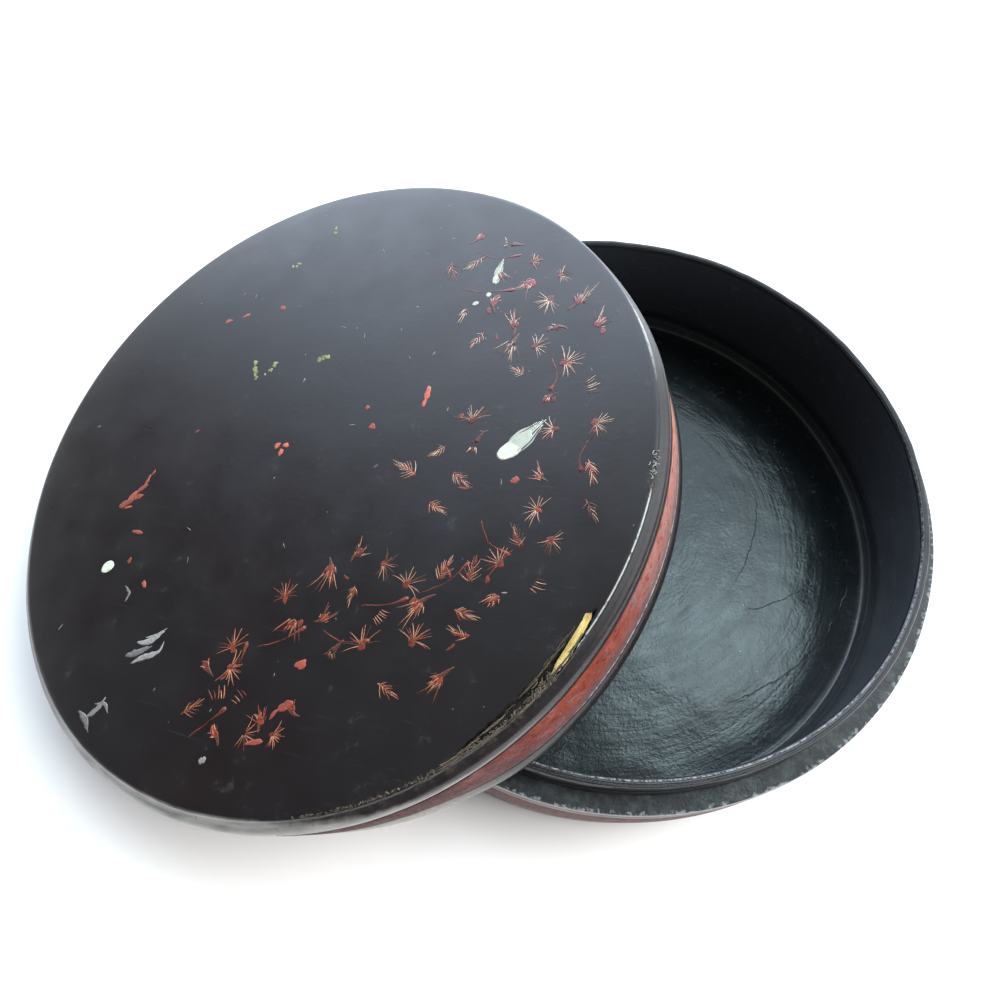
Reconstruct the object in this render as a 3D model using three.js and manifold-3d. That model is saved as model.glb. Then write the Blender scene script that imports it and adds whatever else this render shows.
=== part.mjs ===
import * as THREE from 'three';
import { mergeVertices } from 'three/addons/utils/BufferGeometryUtils.js';
import Module from 'manifold-3d';

// A round lacquer box, hollow, with its lid lifted off and leaned on the box's collar.
// Millimetres, +Z up. The origin is on the table under the middle of the box, and the lid
// has slid off towards -X, so its near edge rests on the collar and its far edge on the table.

const wasm = await Module();
wasm.setup();

// Round work shared by box and lid
const ledgeRadius = 120; // outer edge of the ledge that the closed lid sits on
const mouldingProud = 1.2; // how far the black mouldings swell past the ledge
const bandProud = 0.4; // how far the red bands lie past the ledge
const grooveDepth = 0.7; // turned line on each side of a red band
const grooveWidth = 0.9;
const roundSides = 80; // facets round a full turn
const swellSteps = 4; // facets across a rounded moulding

// Box
const boxHeight = 43.5; // table to ledge
const boxFootHeight = 12.5; // black foot under the red band
const footTuck = 3; // how far the foot draws in at the table
const footRise = 6; // height over which it draws in
const footRound = 0.6; // how far that bevel swells
const boxRimHeight = 9.5; // black moulding between the red band and the ledge
const floorThickness = 5;
const boxWall = 5; // at the floor
const floorFillet = 2.5;

// Collar that the lid slides over
const collarHeight = 11; // above the ledge
const collarWall = 3.2;
const lidClearance = 0.8; // between the collar and the inside of the lid, all round

// Lid
const lidHeight = 38.8; // rim to the middle of the top
const lidWall = 6; // at the rim
const lidRimHeight = 10; // black moulding under the red band
const shoulderHeight = 7.8; // from the middle of the top down to the red band
const shoulderTuck = 3.4; // how far the shoulder draws in at the top face
const shoulderRound = 1.2; // how far the shoulder swells
const crownRise = 1.5; // how far the middle of the top stands over its edge
const crownPower = 8; // the top stays flat to near its edge and then falls away
const topThickness = 5.3; // at the middle
const ceilingFillet = 3;
const rimRound = 0.8; // rounded lower edges of the rim

// Split in the lid's top edge, measured round the lid from its raised side
const splitFrom = -38; // degrees
const splitTo = -64; // degrees
const splitWidth = 3.6;
const splitDepth = 1.5;
const splitInset = 1.6; // from the edge of the top face to the middle of the split
const splitSteps = 12;

// Where the lid rests
const lidReach = 97.5; // middle of the box to the middle of the lid's rim, level
const restGap = 0.3; // between the lid and the collar it rests on

// Radii and heights that follow from these
const mouldingRadius = ledgeRadius + mouldingProud;
const bandRadius = ledgeRadius + bandProud;
const grooveRadius = bandRadius - grooveDepth;
const mouldingRound = mouldingRadius - (bandRadius + ledgeRadius) / 2;
const lidInside = ledgeRadius - lidWall;
const collarOutside = lidInside - lidClearance;
const collarInside = collarOutside - collarWall;
const collarTop = boxHeight + collarHeight;
const lipRadius = collarWall / 2;
const lipMiddle = collarInside + lipRadius;
const topEdgeRadius = ledgeRadius - shoulderTuck;
const topEdgeHeight = lidHeight - crownRise;

/** Points of a rounded moulding: the straight line between two points, swollen by a parabola. */
function swell(from, to, height, steps = swellSteps) {
  const length = Math.hypot(to[0] - from[0], to[1] - from[1]);
  const out = [(to[1] - from[1]) / length, (from[0] - to[0]) / length];
  const points = [];
  for (let i = 0; i <= steps; i++) {
    const t = i / steps;
    const lift = 4 * height * t * (1 - t);
    points.push([
      from[0] + (to[0] - from[0]) * t + out[0] * lift,
      from[1] + (to[1] - from[1]) * t + out[1] * lift,
    ]);
  }
  return points;
}

/** A turned line, cut to the groove radius between two heights. */
function groove(low, high) {
  return [
    [grooveRadius, low],
    [grooveRadius, high],
  ];
}

/** Quarter-round fillet inside a corner at (radius, height), from the wall to the flat. */
function fillet(radius, height, size, up, steps = 2) {
  const points = [];
  for (let i = 0; i <= steps; i++) {
    const angle = (i / steps) * (Math.PI / 2);
    points.push([
      radius - size * (1 - Math.cos(angle)),
      height + up * size * (1 - Math.sin(angle)),
    ]);
  }
  return points;
}

/** Height of the collar's half-round lip at one distance from the box's axis. */
function lipHeight(radius) {
  const across = Math.min(Math.abs(radius - lipMiddle), lipRadius);
  return collarTop - lipRadius + Math.sqrt(lipRadius ** 2 - across ** 2);
}

/** The box from the middle of its underside, out, up, over the collar and down to its floor. */
function boxProfile() {
  const bandBottom = boxFootHeight;
  const bandTop = boxHeight - boxRimHeight;
  const lipSteps = 4;
  const lip = [];
  for (let i = 0; i <= lipSteps; i++) {
    const angle = (i / lipSteps) * Math.PI;
    lip.push([
      lipMiddle + lipRadius * Math.cos(angle),
      collarTop - lipRadius + lipRadius * Math.sin(angle),
    ]);
  }
  return [
    [0, 0],
    ...swell([ledgeRadius - footTuck, 0], [bandRadius, footRise], footRound, 3),
    [bandRadius, bandBottom - grooveWidth],
    ...groove(bandBottom - grooveWidth, bandBottom),
    [bandRadius, bandBottom],
    [bandRadius, bandTop],
    ...groove(bandTop, bandTop + grooveWidth),
    ...swell([bandRadius, bandTop + grooveWidth], [ledgeRadius, boxHeight], mouldingRound),
    [collarOutside, boxHeight],
    ...lip,
    ...fillet(ledgeRadius - boxWall, floorThickness, floorFillet, 1),
    [0, floorThickness],
  ];
}

/** The lid, standing on its rim, from the middle of its ceiling out, round the rim and up to its top. */
function lidProfile() {
  const bandBottom = lidRimHeight;
  const bandTop = lidHeight - shoulderHeight;
  const ceiling = lidHeight - topThickness;
  const crownShares = [0, 0.55, 0.78, 0.88, 0.94, 0.975, 1];
  const crown = crownShares.map((share) => [
    share * topEdgeRadius,
    lidHeight - crownRise * share ** crownPower,
  ]);
  return [
    [0, ceiling],
    ...fillet(lidInside, ceiling, ceilingFillet, -1).reverse(),
    [lidInside, rimRound],
    [lidInside + rimRound, 0],
    [ledgeRadius - rimRound, 0],
    ...swell([ledgeRadius, rimRound], [bandRadius, bandBottom - grooveWidth], mouldingRound),
    ...groove(bandBottom - grooveWidth, bandBottom),
    [bandRadius, bandBottom],
    [bandRadius, bandTop],
    ...groove(bandTop, bandTop + grooveWidth),
    ...swell([bandRadius, bandTop + grooveWidth], [topEdgeRadius, topEdgeHeight], shoulderRound, 5),
    ...crown.slice(0, -1).reverse(),
  ];
}

/** A closed turned body about +Z from a profile of [radius, height] points. */
function turned(profile) {
  const points = profile.map(([radius, height]) => new THREE.Vector2(radius, height));
  return new THREE.LatheGeometry(points, roundSides).rotateX(Math.PI / 2);
}

/** A closed geometry as a solid, with its shared corners merged and no empty triangles. */
function toSolid(geometry) {
  const bare = geometry.clone();
  bare.deleteAttribute('normal');
  bare.deleteAttribute('uv');
  const merged = mergeVertices(bare, 1e-4);
  const corners = merged.index.array;
  const triVerts = [];
  for (let i = 0; i < corners.length; i += 3) {
    const [a, b, c] = corners.slice(i, i + 3);
    if (a !== b && b !== c && c !== a) {
      triVerts.push(a, b, c);
    }
  }
  return new wasm.Manifold(
    new wasm.Mesh({
      numProp: 3,
      vertProperties: merged.attributes.position.array,
      triVerts: new Uint32Array(triVerts),
    }),
  );
}

/** A solid back as a geometry for a mesh. */
function toGeometry(solid) {
  const { vertProperties, triVerts } = solid.getMesh();
  const geometry = new THREE.BufferGeometry();
  geometry.setAttribute('position', new THREE.BufferAttribute(vertProperties, 3));
  geometry.setIndex(new THREE.BufferAttribute(triVerts, 1));
  geometry.computeVertexNormals();
  return geometry;
}

/** What has come away at the split: a crescent that follows the lid's edge and narrows to its ends. */
function splitAway() {
  const middle = topEdgeRadius - splitInset;
  const inner = [];
  const outer = [];
  for (let i = 0; i <= splitSteps; i++) {
    const t = i / splitSteps;
    const angle = THREE.MathUtils.degToRad(splitFrom + (splitTo - splitFrom) * t);
    const half = (splitWidth / 2) * Math.sqrt(Math.sin(Math.PI * t));
    const along = new THREE.Vector2(Math.cos(angle), Math.sin(angle));
    inner.push(along.clone().multiplyScalar(middle - half));
    outer.push(along.clone().multiplyScalar(middle + half));
  }
  const outline = new THREE.Shape([...inner, ...outer.slice(1, -1).reverse()]);
  const cutter = new THREE.ExtrudeGeometry(outline, {
    depth: splitDepth + crownRise,
    steps: 1,
    bevelEnabled: false,
  });
  return cutter.translate(0, 0, topEdgeHeight - splitDepth);
}

/** Height of the rim's middle at one lean, with the lid's lowest edge on the table. */
function rimHeight(lean) {
  const drops = lidProfile().map(
    ([radius, height]) => radius * Math.sin(lean) - height * Math.cos(lean),
  );
  return Math.max(...drops);
}

/** Least height of the rim's underside over the collar's lip at one lean. */
function clearanceAt(lean) {
  const turnSteps = 720;
  const rimSteps = 8;
  const middle = rimHeight(lean);
  let least = Infinity;
  for (let i = 0; i < turnSteps; i++) {
    const angle = (i / turnSteps) * 2 * Math.PI;
    for (let j = 0; j <= rimSteps; j++) {
      const radius = lidInside + (j / rimSteps) * (ledgeRadius - lidInside);
      const slope = radius * Math.cos(angle);
      const fromAxis = Math.hypot(slope * Math.cos(lean) - lidReach, radius * Math.sin(angle));
      if (fromAxis > collarInside && fromAxis < collarOutside) {
        least = Math.min(least, middle + slope * Math.sin(lean) - lipHeight(fromAxis));
      }
    }
  }
  return least;
}

/** The lean at which the rim comes to rest on the collar, found by halving the range. */
function restingLean() {
  let low = THREE.MathUtils.degToRad(2);
  let high = THREE.MathUtils.degToRad(50);
  for (let i = 0; i < 40; i++) {
    const lean = (low + high) / 2;
    if (clearanceAt(lean) < restGap) {
      low = lean;
    } else {
      high = lean;
    }
  }
  return high;
}

const boxLacquer = new THREE.MeshStandardMaterial({
  color: '#26292b',
  roughness: 0.38,
  metalness: 0,
});
const lidLacquer = new THREE.MeshStandardMaterial({
  color: '#2b2a2c',
  roughness: 0.28,
  metalness: 0,
});

const box = new THREE.Mesh(turned(boxProfile()), boxLacquer);
box.name = 'box';

const lidBody = toSolid(turned(lidProfile())).subtract(toSolid(splitAway()));
const lid = new THREE.Mesh(toGeometry(lidBody), lidLacquer);
lid.name = 'lid';

const lean = restingLean();
const leaningLid = new THREE.Group();
leaningLid.rotation.y = -lean;
leaningLid.position.set(-lidReach, 0, rimHeight(lean));
leaningLid.add(lid);

const lacquerBox = new THREE.Group();
lacquerBox.name = 'round_lacquer_box';
lacquerBox.add(box, leaningLid);

export default lacquerBox;
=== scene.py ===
import math
from functools import partial

import bpy
import numpy as np
from mathutils import Matrix, Vector


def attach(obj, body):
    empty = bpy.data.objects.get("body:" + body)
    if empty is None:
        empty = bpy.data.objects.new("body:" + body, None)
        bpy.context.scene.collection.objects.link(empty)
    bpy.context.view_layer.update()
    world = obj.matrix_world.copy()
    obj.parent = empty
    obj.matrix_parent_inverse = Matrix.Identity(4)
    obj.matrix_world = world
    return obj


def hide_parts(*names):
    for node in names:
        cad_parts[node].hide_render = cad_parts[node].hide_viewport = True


# A round lacquer box with its lid slid off and leaning on the collar. Lengths are millimetres
# until a surface is put into its mesh, which is in metres like the frame.
MM = 0.001

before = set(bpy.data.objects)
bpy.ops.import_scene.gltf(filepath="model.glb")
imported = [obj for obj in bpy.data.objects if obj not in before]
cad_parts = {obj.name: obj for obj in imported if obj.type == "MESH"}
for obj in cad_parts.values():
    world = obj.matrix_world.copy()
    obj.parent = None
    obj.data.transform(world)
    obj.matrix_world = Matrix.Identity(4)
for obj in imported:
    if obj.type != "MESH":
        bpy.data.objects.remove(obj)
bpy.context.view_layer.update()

# Sizes shared by box and lid
LEDGE = 120.0  # radius of the ledge's outer edge
BAND = 120.4  # radius of the red bands
MOULDING_ROUND = 1.0  # how far the lid's black moulding swells
BOX_ROUND = 0.35  # and the box's, which is worn flat
BAND_ROUND = 0.7  # how far the box's red band swells
GROOVE_DEEP = 0.7
GROOVE_WIDE = 0.9

# Box
BOX_HEIGHT = 43.5
BOX_BAND = (12.5, 34.0)  # bottom and top of its red band
FOOT = 117.0  # radius of the flat underside
FOOT_RISE = 6.0
FLOOR = 5.0
FLOOR_RADIUS = 115.0
FLOOR_FILLET = 4.5
LIP_TOP = 54.5
LIP_MIDDLE = 111.6
LIP_ROUND = 1.6

# Lid, in its own frame: the rim's plane is height 0 and its first axis points up the slope
LID_HEIGHT = 38.8
LID_BAND = (10.0, 31.0)
LID_INSIDE = 114.0
LID_CEILING = 33.5
CEILING_FILLET = 3.0
TOP_EDGE = 116.6
CROWN_RISE = 1.5
CROWN_POWER = 8
RIM_ROUND = 0.8
LID_LEAN = math.radians(18.5935)
LID_MIDDLE = (-97.5, 0.0, (LEDGE - RIM_ROUND) * math.sin(LID_LEAN))

# Split and wear along the lid's top edge, as angles round the lid from its raised side
RIM_DRAWN_IN = 1.7  # how far the warped rim stands back at the low front
SPLIT = (math.radians(-38.0), math.radians(-64.0))
SPLIT_MIDDLE = 115.0
SPLIT_HALF = 1.8
SPLIT_DEEP = 1.5
STRIP = (math.radians(-38.8), math.radians(-48.9))
TOP_FROM = LID_HEIGHT - 5  # the top edge and the top lie above this
SUNK = 0.12  # how far the top is let in, so that its unevenness stays inside the CAD's reach
STRIP_RADII = (113.7, 115.9)
STRIP_HALF = 1.15
STRIP_GRAIN = (24.0, 6.0)  # its length and the way round it, which the grain is drawn to
CRUST = (math.radians(-46.0), math.radians(-92.0))

# The photograph's camera, worked out from the circles of box and lid
CAMERA_PLACE = (-56.95, -128.81, 286.20)
CAMERA_LOOK = (0.0459, 0.4443, -0.8947)
CAMERA_UP = (0.0373, 0.8943, 0.4460)
CAMERA_LENS = 25.99

# The lamp: where it stands, round from the far side towards the left and up, in degrees
LAMP_AZIMUTH = -94.0
LAMP_HEIGHT = 42.0
LAMP_WIDE = 36.0
LAMP_POWER = 2.75

chance = np.random.default_rng(41)


# Surfaces


def lid_place(points):
    """Lid frame to part frame: turned about the Y axis by the lean, then moved to the rim's middle."""
    x, y, z = np.moveaxis(np.asarray(points, float), -1, 0)
    c, s = math.cos(LID_LEAN), math.sin(LID_LEAN)
    return np.stack([x * c - z * s + LID_MIDDLE[0], y, x * s + z * c + LID_MIDDLE[2]], -1)


def lid_top_height(x, y):
    """The top falls from its middle as the eighth power of the share of the radius."""
    return LID_HEIGHT - CROWN_RISE * (np.hypot(x, y) / TOP_EDGE) ** CROWN_POWER


def swell(start, end, height, steps=16):
    """A straight line between two outline points, pushed out sideways by a parabola."""
    start, end = np.array(start, float), np.array(end, float)
    along = end - start
    out = np.array([along[1], -along[0]]) / np.hypot(*along)
    t = np.linspace(0, 1, steps + 1)[:, None]
    return start + along * t + out * 4 * height * t * (1 - t)


def quarter(middle, size, start, end, steps=8):
    """Part of a circle round a point, from one angle to another in degrees."""
    a = np.radians(np.linspace(start, end, steps + 1))
    return np.stack([middle[0] + size * np.cos(a), middle[1] + size * np.sin(a)], -1)


def groove(low, high):
    """A turned line with sloping sides and a flat bottom."""
    slope = 0.25 * (high - low)
    deep = BAND - GROOVE_DEEP
    return [(BAND, low), (deep, low + slope), (deep, high - slope), (BAND, high)]


def softened(outline, size, step=0.12):
    """An outline walked in even steps and averaged with a bell curve, as lacquer softens every corner.

    The two ends stay where they are.
    """
    outline = np.asarray(outline, float)
    length = np.r_[0, np.cumsum(np.hypot(*np.diff(outline, axis=0).T))]
    walk = np.linspace(0, length[-1], int(length[-1] / step) + 1)
    points = np.stack([np.interp(walk, length, outline[:, k]) for k in (0, 1)], -1)
    reach = int(3 * size / step)
    bell = np.exp(-0.5 * (np.arange(-reach, reach + 1) * step / size) ** 2)
    bell /= bell.sum()
    ends = 2 * points[[0]] - points[reach:0:-1], 2 * points[[-1]] - points[-2 : -reach - 2 : -1]
    padded = np.concatenate([ends[0], points, ends[1]])
    return np.stack([np.convolve(padded[:, k], bell, "valid") for k in (0, 1)], -1)


def graded(outline, reach, turn, close=None, close_step=0.3):
    """Points along an outline, spaced evenly in length / reach plus turning / turn.

    Where close(radius, height) is true the spacing is close_step or less.
    """
    step = np.diff(outline, axis=0)
    length = np.hypot(*step.T)
    heading = np.unwrap(np.arctan2(step[:, 1], step[:, 0]))
    bend = np.abs(np.r_[0, np.diff(heading)])
    cost = length / reach + bend / math.radians(turn)
    if close is not None:
        middle = (outline[1:] + outline[:-1]) / 2
        cost += close(middle[:, 0], middle[:, 1]) * length / close_step
    spent = np.r_[0, np.cumsum(cost)]
    places = np.linspace(0, spent[-1], int(spent[-1]) + 2)
    return np.stack([np.interp(places, spent, outline[:, k]) for k in (0, 1)], -1)


def angles_round(count, close=None, close_count=0):
    """Angles of a full turn, evenly spaced, with more of them inside one range."""
    if close is None:
        return np.arange(count) * 2 * math.pi / count
    low, high = min(close), max(close)
    inside = np.linspace(low, high, close_count, endpoint=False)
    return np.r_[inside, np.linspace(high, low + 2 * math.pi, count, endpoint=False)]


def put_mesh(name, points, faces, smooth=True):
    """A mesh object at the origin from points in millimetres and faces as corner numbers."""
    mesh = bpy.data.meshes.new(name)
    mesh.from_pydata((np.asarray(points).reshape(-1, 3) * MM).tolist(), [], faces)
    mesh.polygons.foreach_set("use_smooth", np.full(len(mesh.polygons), smooth))
    piece = bpy.data.objects.new(name, mesh)
    bpy.context.scene.collection.objects.link(piece)
    return piece


def ring_faces(rings, around):
    """Quads between neighbouring rings of a grid whose rings close on themselves."""
    i, j = np.meshgrid(np.arange(rings - 1), np.arange(around), indexing="ij")
    k = (j + 1) % around
    quads = np.stack([i * around + j, i * around + k, (i + 1) * around + k, (i + 1) * around + j], -1)
    return quads.reshape(-1, 4)


def turned_surface(name, outline, angles, shape, place=None):
    """An outline that starts and ends on the axis, carried round it.

    A point is (radius cos angle, radius sin angle, height). shape(radius, height, angle) moves
    radius and height, and place takes the points to the part frame. Each end closes in one point.
    """
    inner = outline[1:-1]
    radius = np.repeat(inner[:, :1], len(angles), 1)
    height = np.repeat(inner[:, 1:], len(angles), 1)
    angle = np.repeat(angles[None, :], len(inner), 0)
    radius, height = shape(radius, height, angle)
    grid = np.stack([radius * np.cos(angle), radius * np.sin(angle), height], -1).reshape(-1, 3)
    ends = np.array([[0, 0, outline[0, 1]], [0, 0, outline[-1, 1]]])
    points = np.concatenate([grid, ends])
    if place is not None:
        points = place(points)
    n, last = len(angles), len(grid)
    j = np.arange(n)
    k = (j + 1) % n
    start = np.stack([np.full(n, last), k, j], -1)
    end = np.stack([np.full(n, last + 1), last - n + j, last - n + k], -1)
    faces = start.tolist() + ring_faces(len(inner), n).tolist() + end.tolist()
    return put_mesh(name, points, faces), grid


def give_parts(piece, grid, part_of):
    """Sets each face's material number from part_of(radius, height) at its middle."""
    corner = np.zeros(len(piece.data.loops), np.int32)
    piece.data.loops.foreach_get("vertex_index", corner)
    start = np.zeros(len(piece.data.polygons), np.int32)
    piece.data.polygons.foreach_get("loop_start", start)
    radius = np.r_[np.hypot(grid[:, 0], grid[:, 1]), 0, 0]
    height = np.r_[grid[:, 2], grid[0, 2], grid[-1, 2]]
    near = np.stack([corner[start], corner[start + 1], corner[start + 2]])
    parts = part_of(radius[near].mean(0), height[near].mean(0))
    piece.data.polygons.foreach_set("material_index", parts.astype(np.int32))


def write_field(piece, name, values):
    """A number for each point of a piece, which its material reads by name."""
    field = piece.data.attributes.new(name, "FLOAT", "POINT")
    full = np.zeros(len(piece.data.vertices), np.float32)
    full[: len(values)] = values
    field.data.foreach_set("value", full)


def unit(angle):
    """The direction (cos angle, sin angle) at each angle."""
    return np.stack([np.cos(angle), np.sin(angle)], -1)


def folded(angle):
    """The same angle between minus and plus half a turn."""
    return (angle + math.pi) % (2 * math.pi) - math.pi


def smooth_step(value, low, high):
    """Nought below low, one above high, and a soft S between."""
    t = np.clip((value - low) / (high - low), 0, 1)
    return t * t * (3 - 2 * t)


def ripple(x, y, sizes, seed):
    """Sums sine waves of the given lengths in millimetres that run in seeded directions."""
    pick = np.random.default_rng(seed)
    total = np.zeros(np.shape(x))
    for size in sizes:
        for turn, phase in pick.uniform(0, 2 * math.pi, (3, 2)):
            total += np.sin(2 * math.pi / size * (x * math.cos(turn) + y * math.sin(turn)) + phase) / 3
    return total / len(sizes)


def between(angle, span, soft):
    """One inside a span of angles and nought outside, with soft ends of the given width."""
    low, high = min(span), max(span)
    turn = folded(angle)
    return smooth_step(turn, low, low + soft) * (1 - smooth_step(turn, high - soft, high))


# Box


def box_outline():
    """The box from the middle of its underside, out and up over the collar, down to its floor."""
    low, high = BOX_BAND
    return np.concatenate(
        [
            [(0, 0)],
            swell((FOOT, 0), (BAND, FOOT_RISE), 0.6),
            groove(low - GROOVE_WIDE, low),
            swell((BAND, low), (BAND, high), BAND_ROUND),
            groove(high, high + GROOVE_WIDE),
            swell((BAND, high + GROOVE_WIDE), (LEDGE, BOX_HEIGHT), BOX_ROUND),
            [(LIP_MIDDLE + LIP_ROUND, BOX_HEIGHT)],
            quarter((LIP_MIDDLE, LIP_TOP - LIP_ROUND), LIP_ROUND, 0, 180, 16),
            quarter((FLOOR_RADIUS - FLOOR_FILLET, FLOOR + FLOOR_FILLET), FLOOR_FILLET, 0, -90),
            [(60, FLOOR), (0, FLOOR)],
        ]
    )


def box_unevenness(radius, height, angle):
    """Hand work: the box is a little oval, its walls waver and its floor is crowned and ringed."""
    oval = 0.22 * (np.cos(2 * angle - 0.1) - 1)
    waver = oval + 0.07 * (np.sin(7 * angle + 2.1) - 1) + 0.03 * np.sin(16 * angle)
    x, y = radius * np.cos(angle), radius * np.sin(angle)
    walls = smooth_step(radius, 100, 112)
    inside = (height > FLOOR - 1) & (height < FLOOR + 1)
    crown = -2.0 * (radius / FLOOR_RADIUS) ** 4
    rings = 0.035 * np.cos(radius / 3.1 + 1.5 * np.sin(angle))
    rings = rings + 0.012 * np.sin(radius / 1.7 + 2 * np.cos(angle))
    floor = inside * (crown + (1 - walls) * (0.07 * ripple(x, y, (84, 47), 5) + rings))
    ledge = smooth_step(height, 30, 43) * smooth_step(radius, 112, 114) * 0.10 * np.sin(5 * angle + 1.0)
    on_lip = smooth_step(height, LIP_TOP - 4, LIP_TOP - 1)
    nicks = 0.16 * np.sin(9 * angle + 2) * np.sin(4 * angle)
    nicks = nicks + 0.07 * np.sin(31 * angle) + 0.04 * np.sin(83 * angle)
    dip = 0.07 * (np.sin(11 * angle) * np.sin(3 * angle + 1) - 1) + 0.04 * (np.sin(57 * angle) - 1)
    wavy = radius + waver * walls * (height > 0.5) + on_lip * nicks
    return wavy, height + floor + ledge + on_lip * dip


def make_box():
    """The box's mesh, with its outside, inside and band as the materials of its faces."""
    outline = graded(softened(box_outline(), 0.22), 7.0, 11)
    piece, grid = turned_surface("box_lacquered", outline, angles_round(400), box_unevenness)

    def part_of(radius, height):
        wall = radius < LIP_MIDDLE - LIP_ROUND + 0.3 + 0.12 * (LIP_TOP - height)
        inside = wall & (height > FLOOR / 2) & (height < LIP_TOP - 2.2)
        band = (radius > BAND - 2.5) & (height > BOX_BAND[0]) & (height < BOX_BAND[1])
        return inside * 1 + band * 2

    give_parts(piece, grid, part_of)
    return piece


# Lid


def lid_outline():
    """The lid from the middle of its ceiling, down its inside, round the rim and up to its top."""
    low, high = LID_BAND
    crown = np.linspace(1, 0, 60) * (TOP_EDGE - 1.2)
    return np.concatenate(
        [
            [(0, LID_CEILING)],
            quarter((LID_INSIDE - CEILING_FILLET, LID_CEILING - CEILING_FILLET), CEILING_FILLET, 90, 0),
            [(LID_INSIDE, RIM_ROUND), (LID_INSIDE + RIM_ROUND, 0), (LEDGE - RIM_ROUND, 0)],
            swell((LEDGE, RIM_ROUND), (BAND, low - GROOVE_WIDE), MOULDING_ROUND),
            groove(low - GROOVE_WIDE, low),
            groove(high, high + GROOVE_WIDE),
            swell((BAND, high + GROOVE_WIDE), (118.4, 35.7), 0.75),
            [(117.2, 36.5), (116.9, 37.1), (116.3, 37.3)],
            np.stack([crown, lid_top_height(crown, 0)], -1),
        ]
    )


def split_share(angle):
    """Nought at the split's first end and one at its last."""
    return (folded(angle) - SPLIT[0]) / (SPLIT[1] - SPLIT[0])


def split_cut(radius, height, angle):
    """How deep the split is at a place on the top: steep ragged sides and a fibrous bottom."""
    t = np.clip(split_share(angle), 0, 1)
    run = SPLIT_MIDDLE * angle
    ragged = 0.22 * np.sin(run * 1.9) + 0.16 * np.sin(run * 4.3 + 1) + 0.12 * np.sin(run * 8.1 + 2)
    half = SPLIT_HALF * np.sqrt(np.sin(math.pi * t) + 1e-9)
    across = np.abs(radius - SPLIT_MIDDLE - 0.5 * (t - 0.3))
    inside = 1 - smooth_step(across, half - 0.35 + ragged * 0.6, half + 0.12 + ragged * 0.6)
    fibres = 0.16 * np.sin(radius * 7.5 + 0.6 * np.sin(run * 0.8)) + 0.08 * np.sin(run * 3.7)
    on_top = height > TOP_FROM
    return inside * on_top * (t > 0) * (t < 1) * (SPLIT_DEEP + fibres)


def crust_share(radius, height, angle):
    """How crusted the edge is: a broken strip past the split and a small wrinkled patch before it."""
    run = SPLIT_MIDDLE * angle
    along = between(angle, CRUST, math.radians(8))
    across = np.exp(-(((radius - 117.0) / 1.5) ** 2)) * (height > TOP_FROM)
    waves = np.sin(run * 0.61) + np.sin(run * 1.37 + 2) + 0.8 * np.sin(run * 2.9)
    broken = smooth_step(waves, -0.9, 0.9)
    patch = between(angle, (math.radians(-20.5), math.radians(-16.5)), math.radians(1.2))
    spot = np.exp(-(((radius - 116.2) / 1.1) ** 2)) * (height > TOP_FROM)
    return np.clip(0.6 * along * across * broken + patch * spot, 0, 1)


def lid_waves(x, y):
    """How far the top's gentle hollows and rises leave its even crown."""
    return (1 - smooth_step(np.hypot(x, y), 104, 115)) * 0.11 * ripple(x, y, (95, 55, 34), 9)


def lid_skin(x, y):
    """The height of the finished top, which the painting lies on."""
    return lid_top_height(x, y) + lid_waves(x, y) - SUNK


def lid_unevenness(radius, height, angle):
    """Hand work on the lid, with the split sunk into its top edge and the crust raised on it."""
    x, y = radius * np.cos(angle), radius * np.sin(angle)
    oval = 0.22 * (np.cos(2 * (angle - 1.83)) - 1)
    waver = oval + 0.12 * (np.sin(5 * angle + 0.4) - 1) + 0.04 * (np.sin(13 * angle) - 1)
    outside = smooth_step(radius, 114.5, 116.5)
    turn = np.degrees(folded(angle))
    slim = 2.3 * np.exp(-(((turn - 24) / 20) ** 2)) + 0.9 * np.exp(-(((turn - 66) / 24) ** 2))
    slim = slim * smooth_step(radius, 116.0, 119.5) * smooth_step(height, 6, 24)
    low_front = smooth_step(turn, -54, -76) * (1 - smooth_step(turn, -105, -140))
    drawn_in = RIM_DRAWN_IN * low_front * (1 - smooth_step(height, 6, 23))
    slim = slim + drawn_in * smooth_step(radius, 115.5, 118)
    on_top = height > TOP_FROM
    flat = on_top * lid_waves(x, y)
    grains = 0.20 * np.sin(7.0 * x + 1.2 * np.sin(5.1 * y)) * np.sin(6.4 * y + 1.4 * np.sin(4.4 * x))
    crust = crust_share(radius, height, angle) * (0.16 + grains)
    sunk = SUNK * smooth_step(height, 34, 36)
    wavy = radius + waver * outside - slim
    return wavy, height + flat + crust - sunk - split_cut(radius, height, angle)


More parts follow.
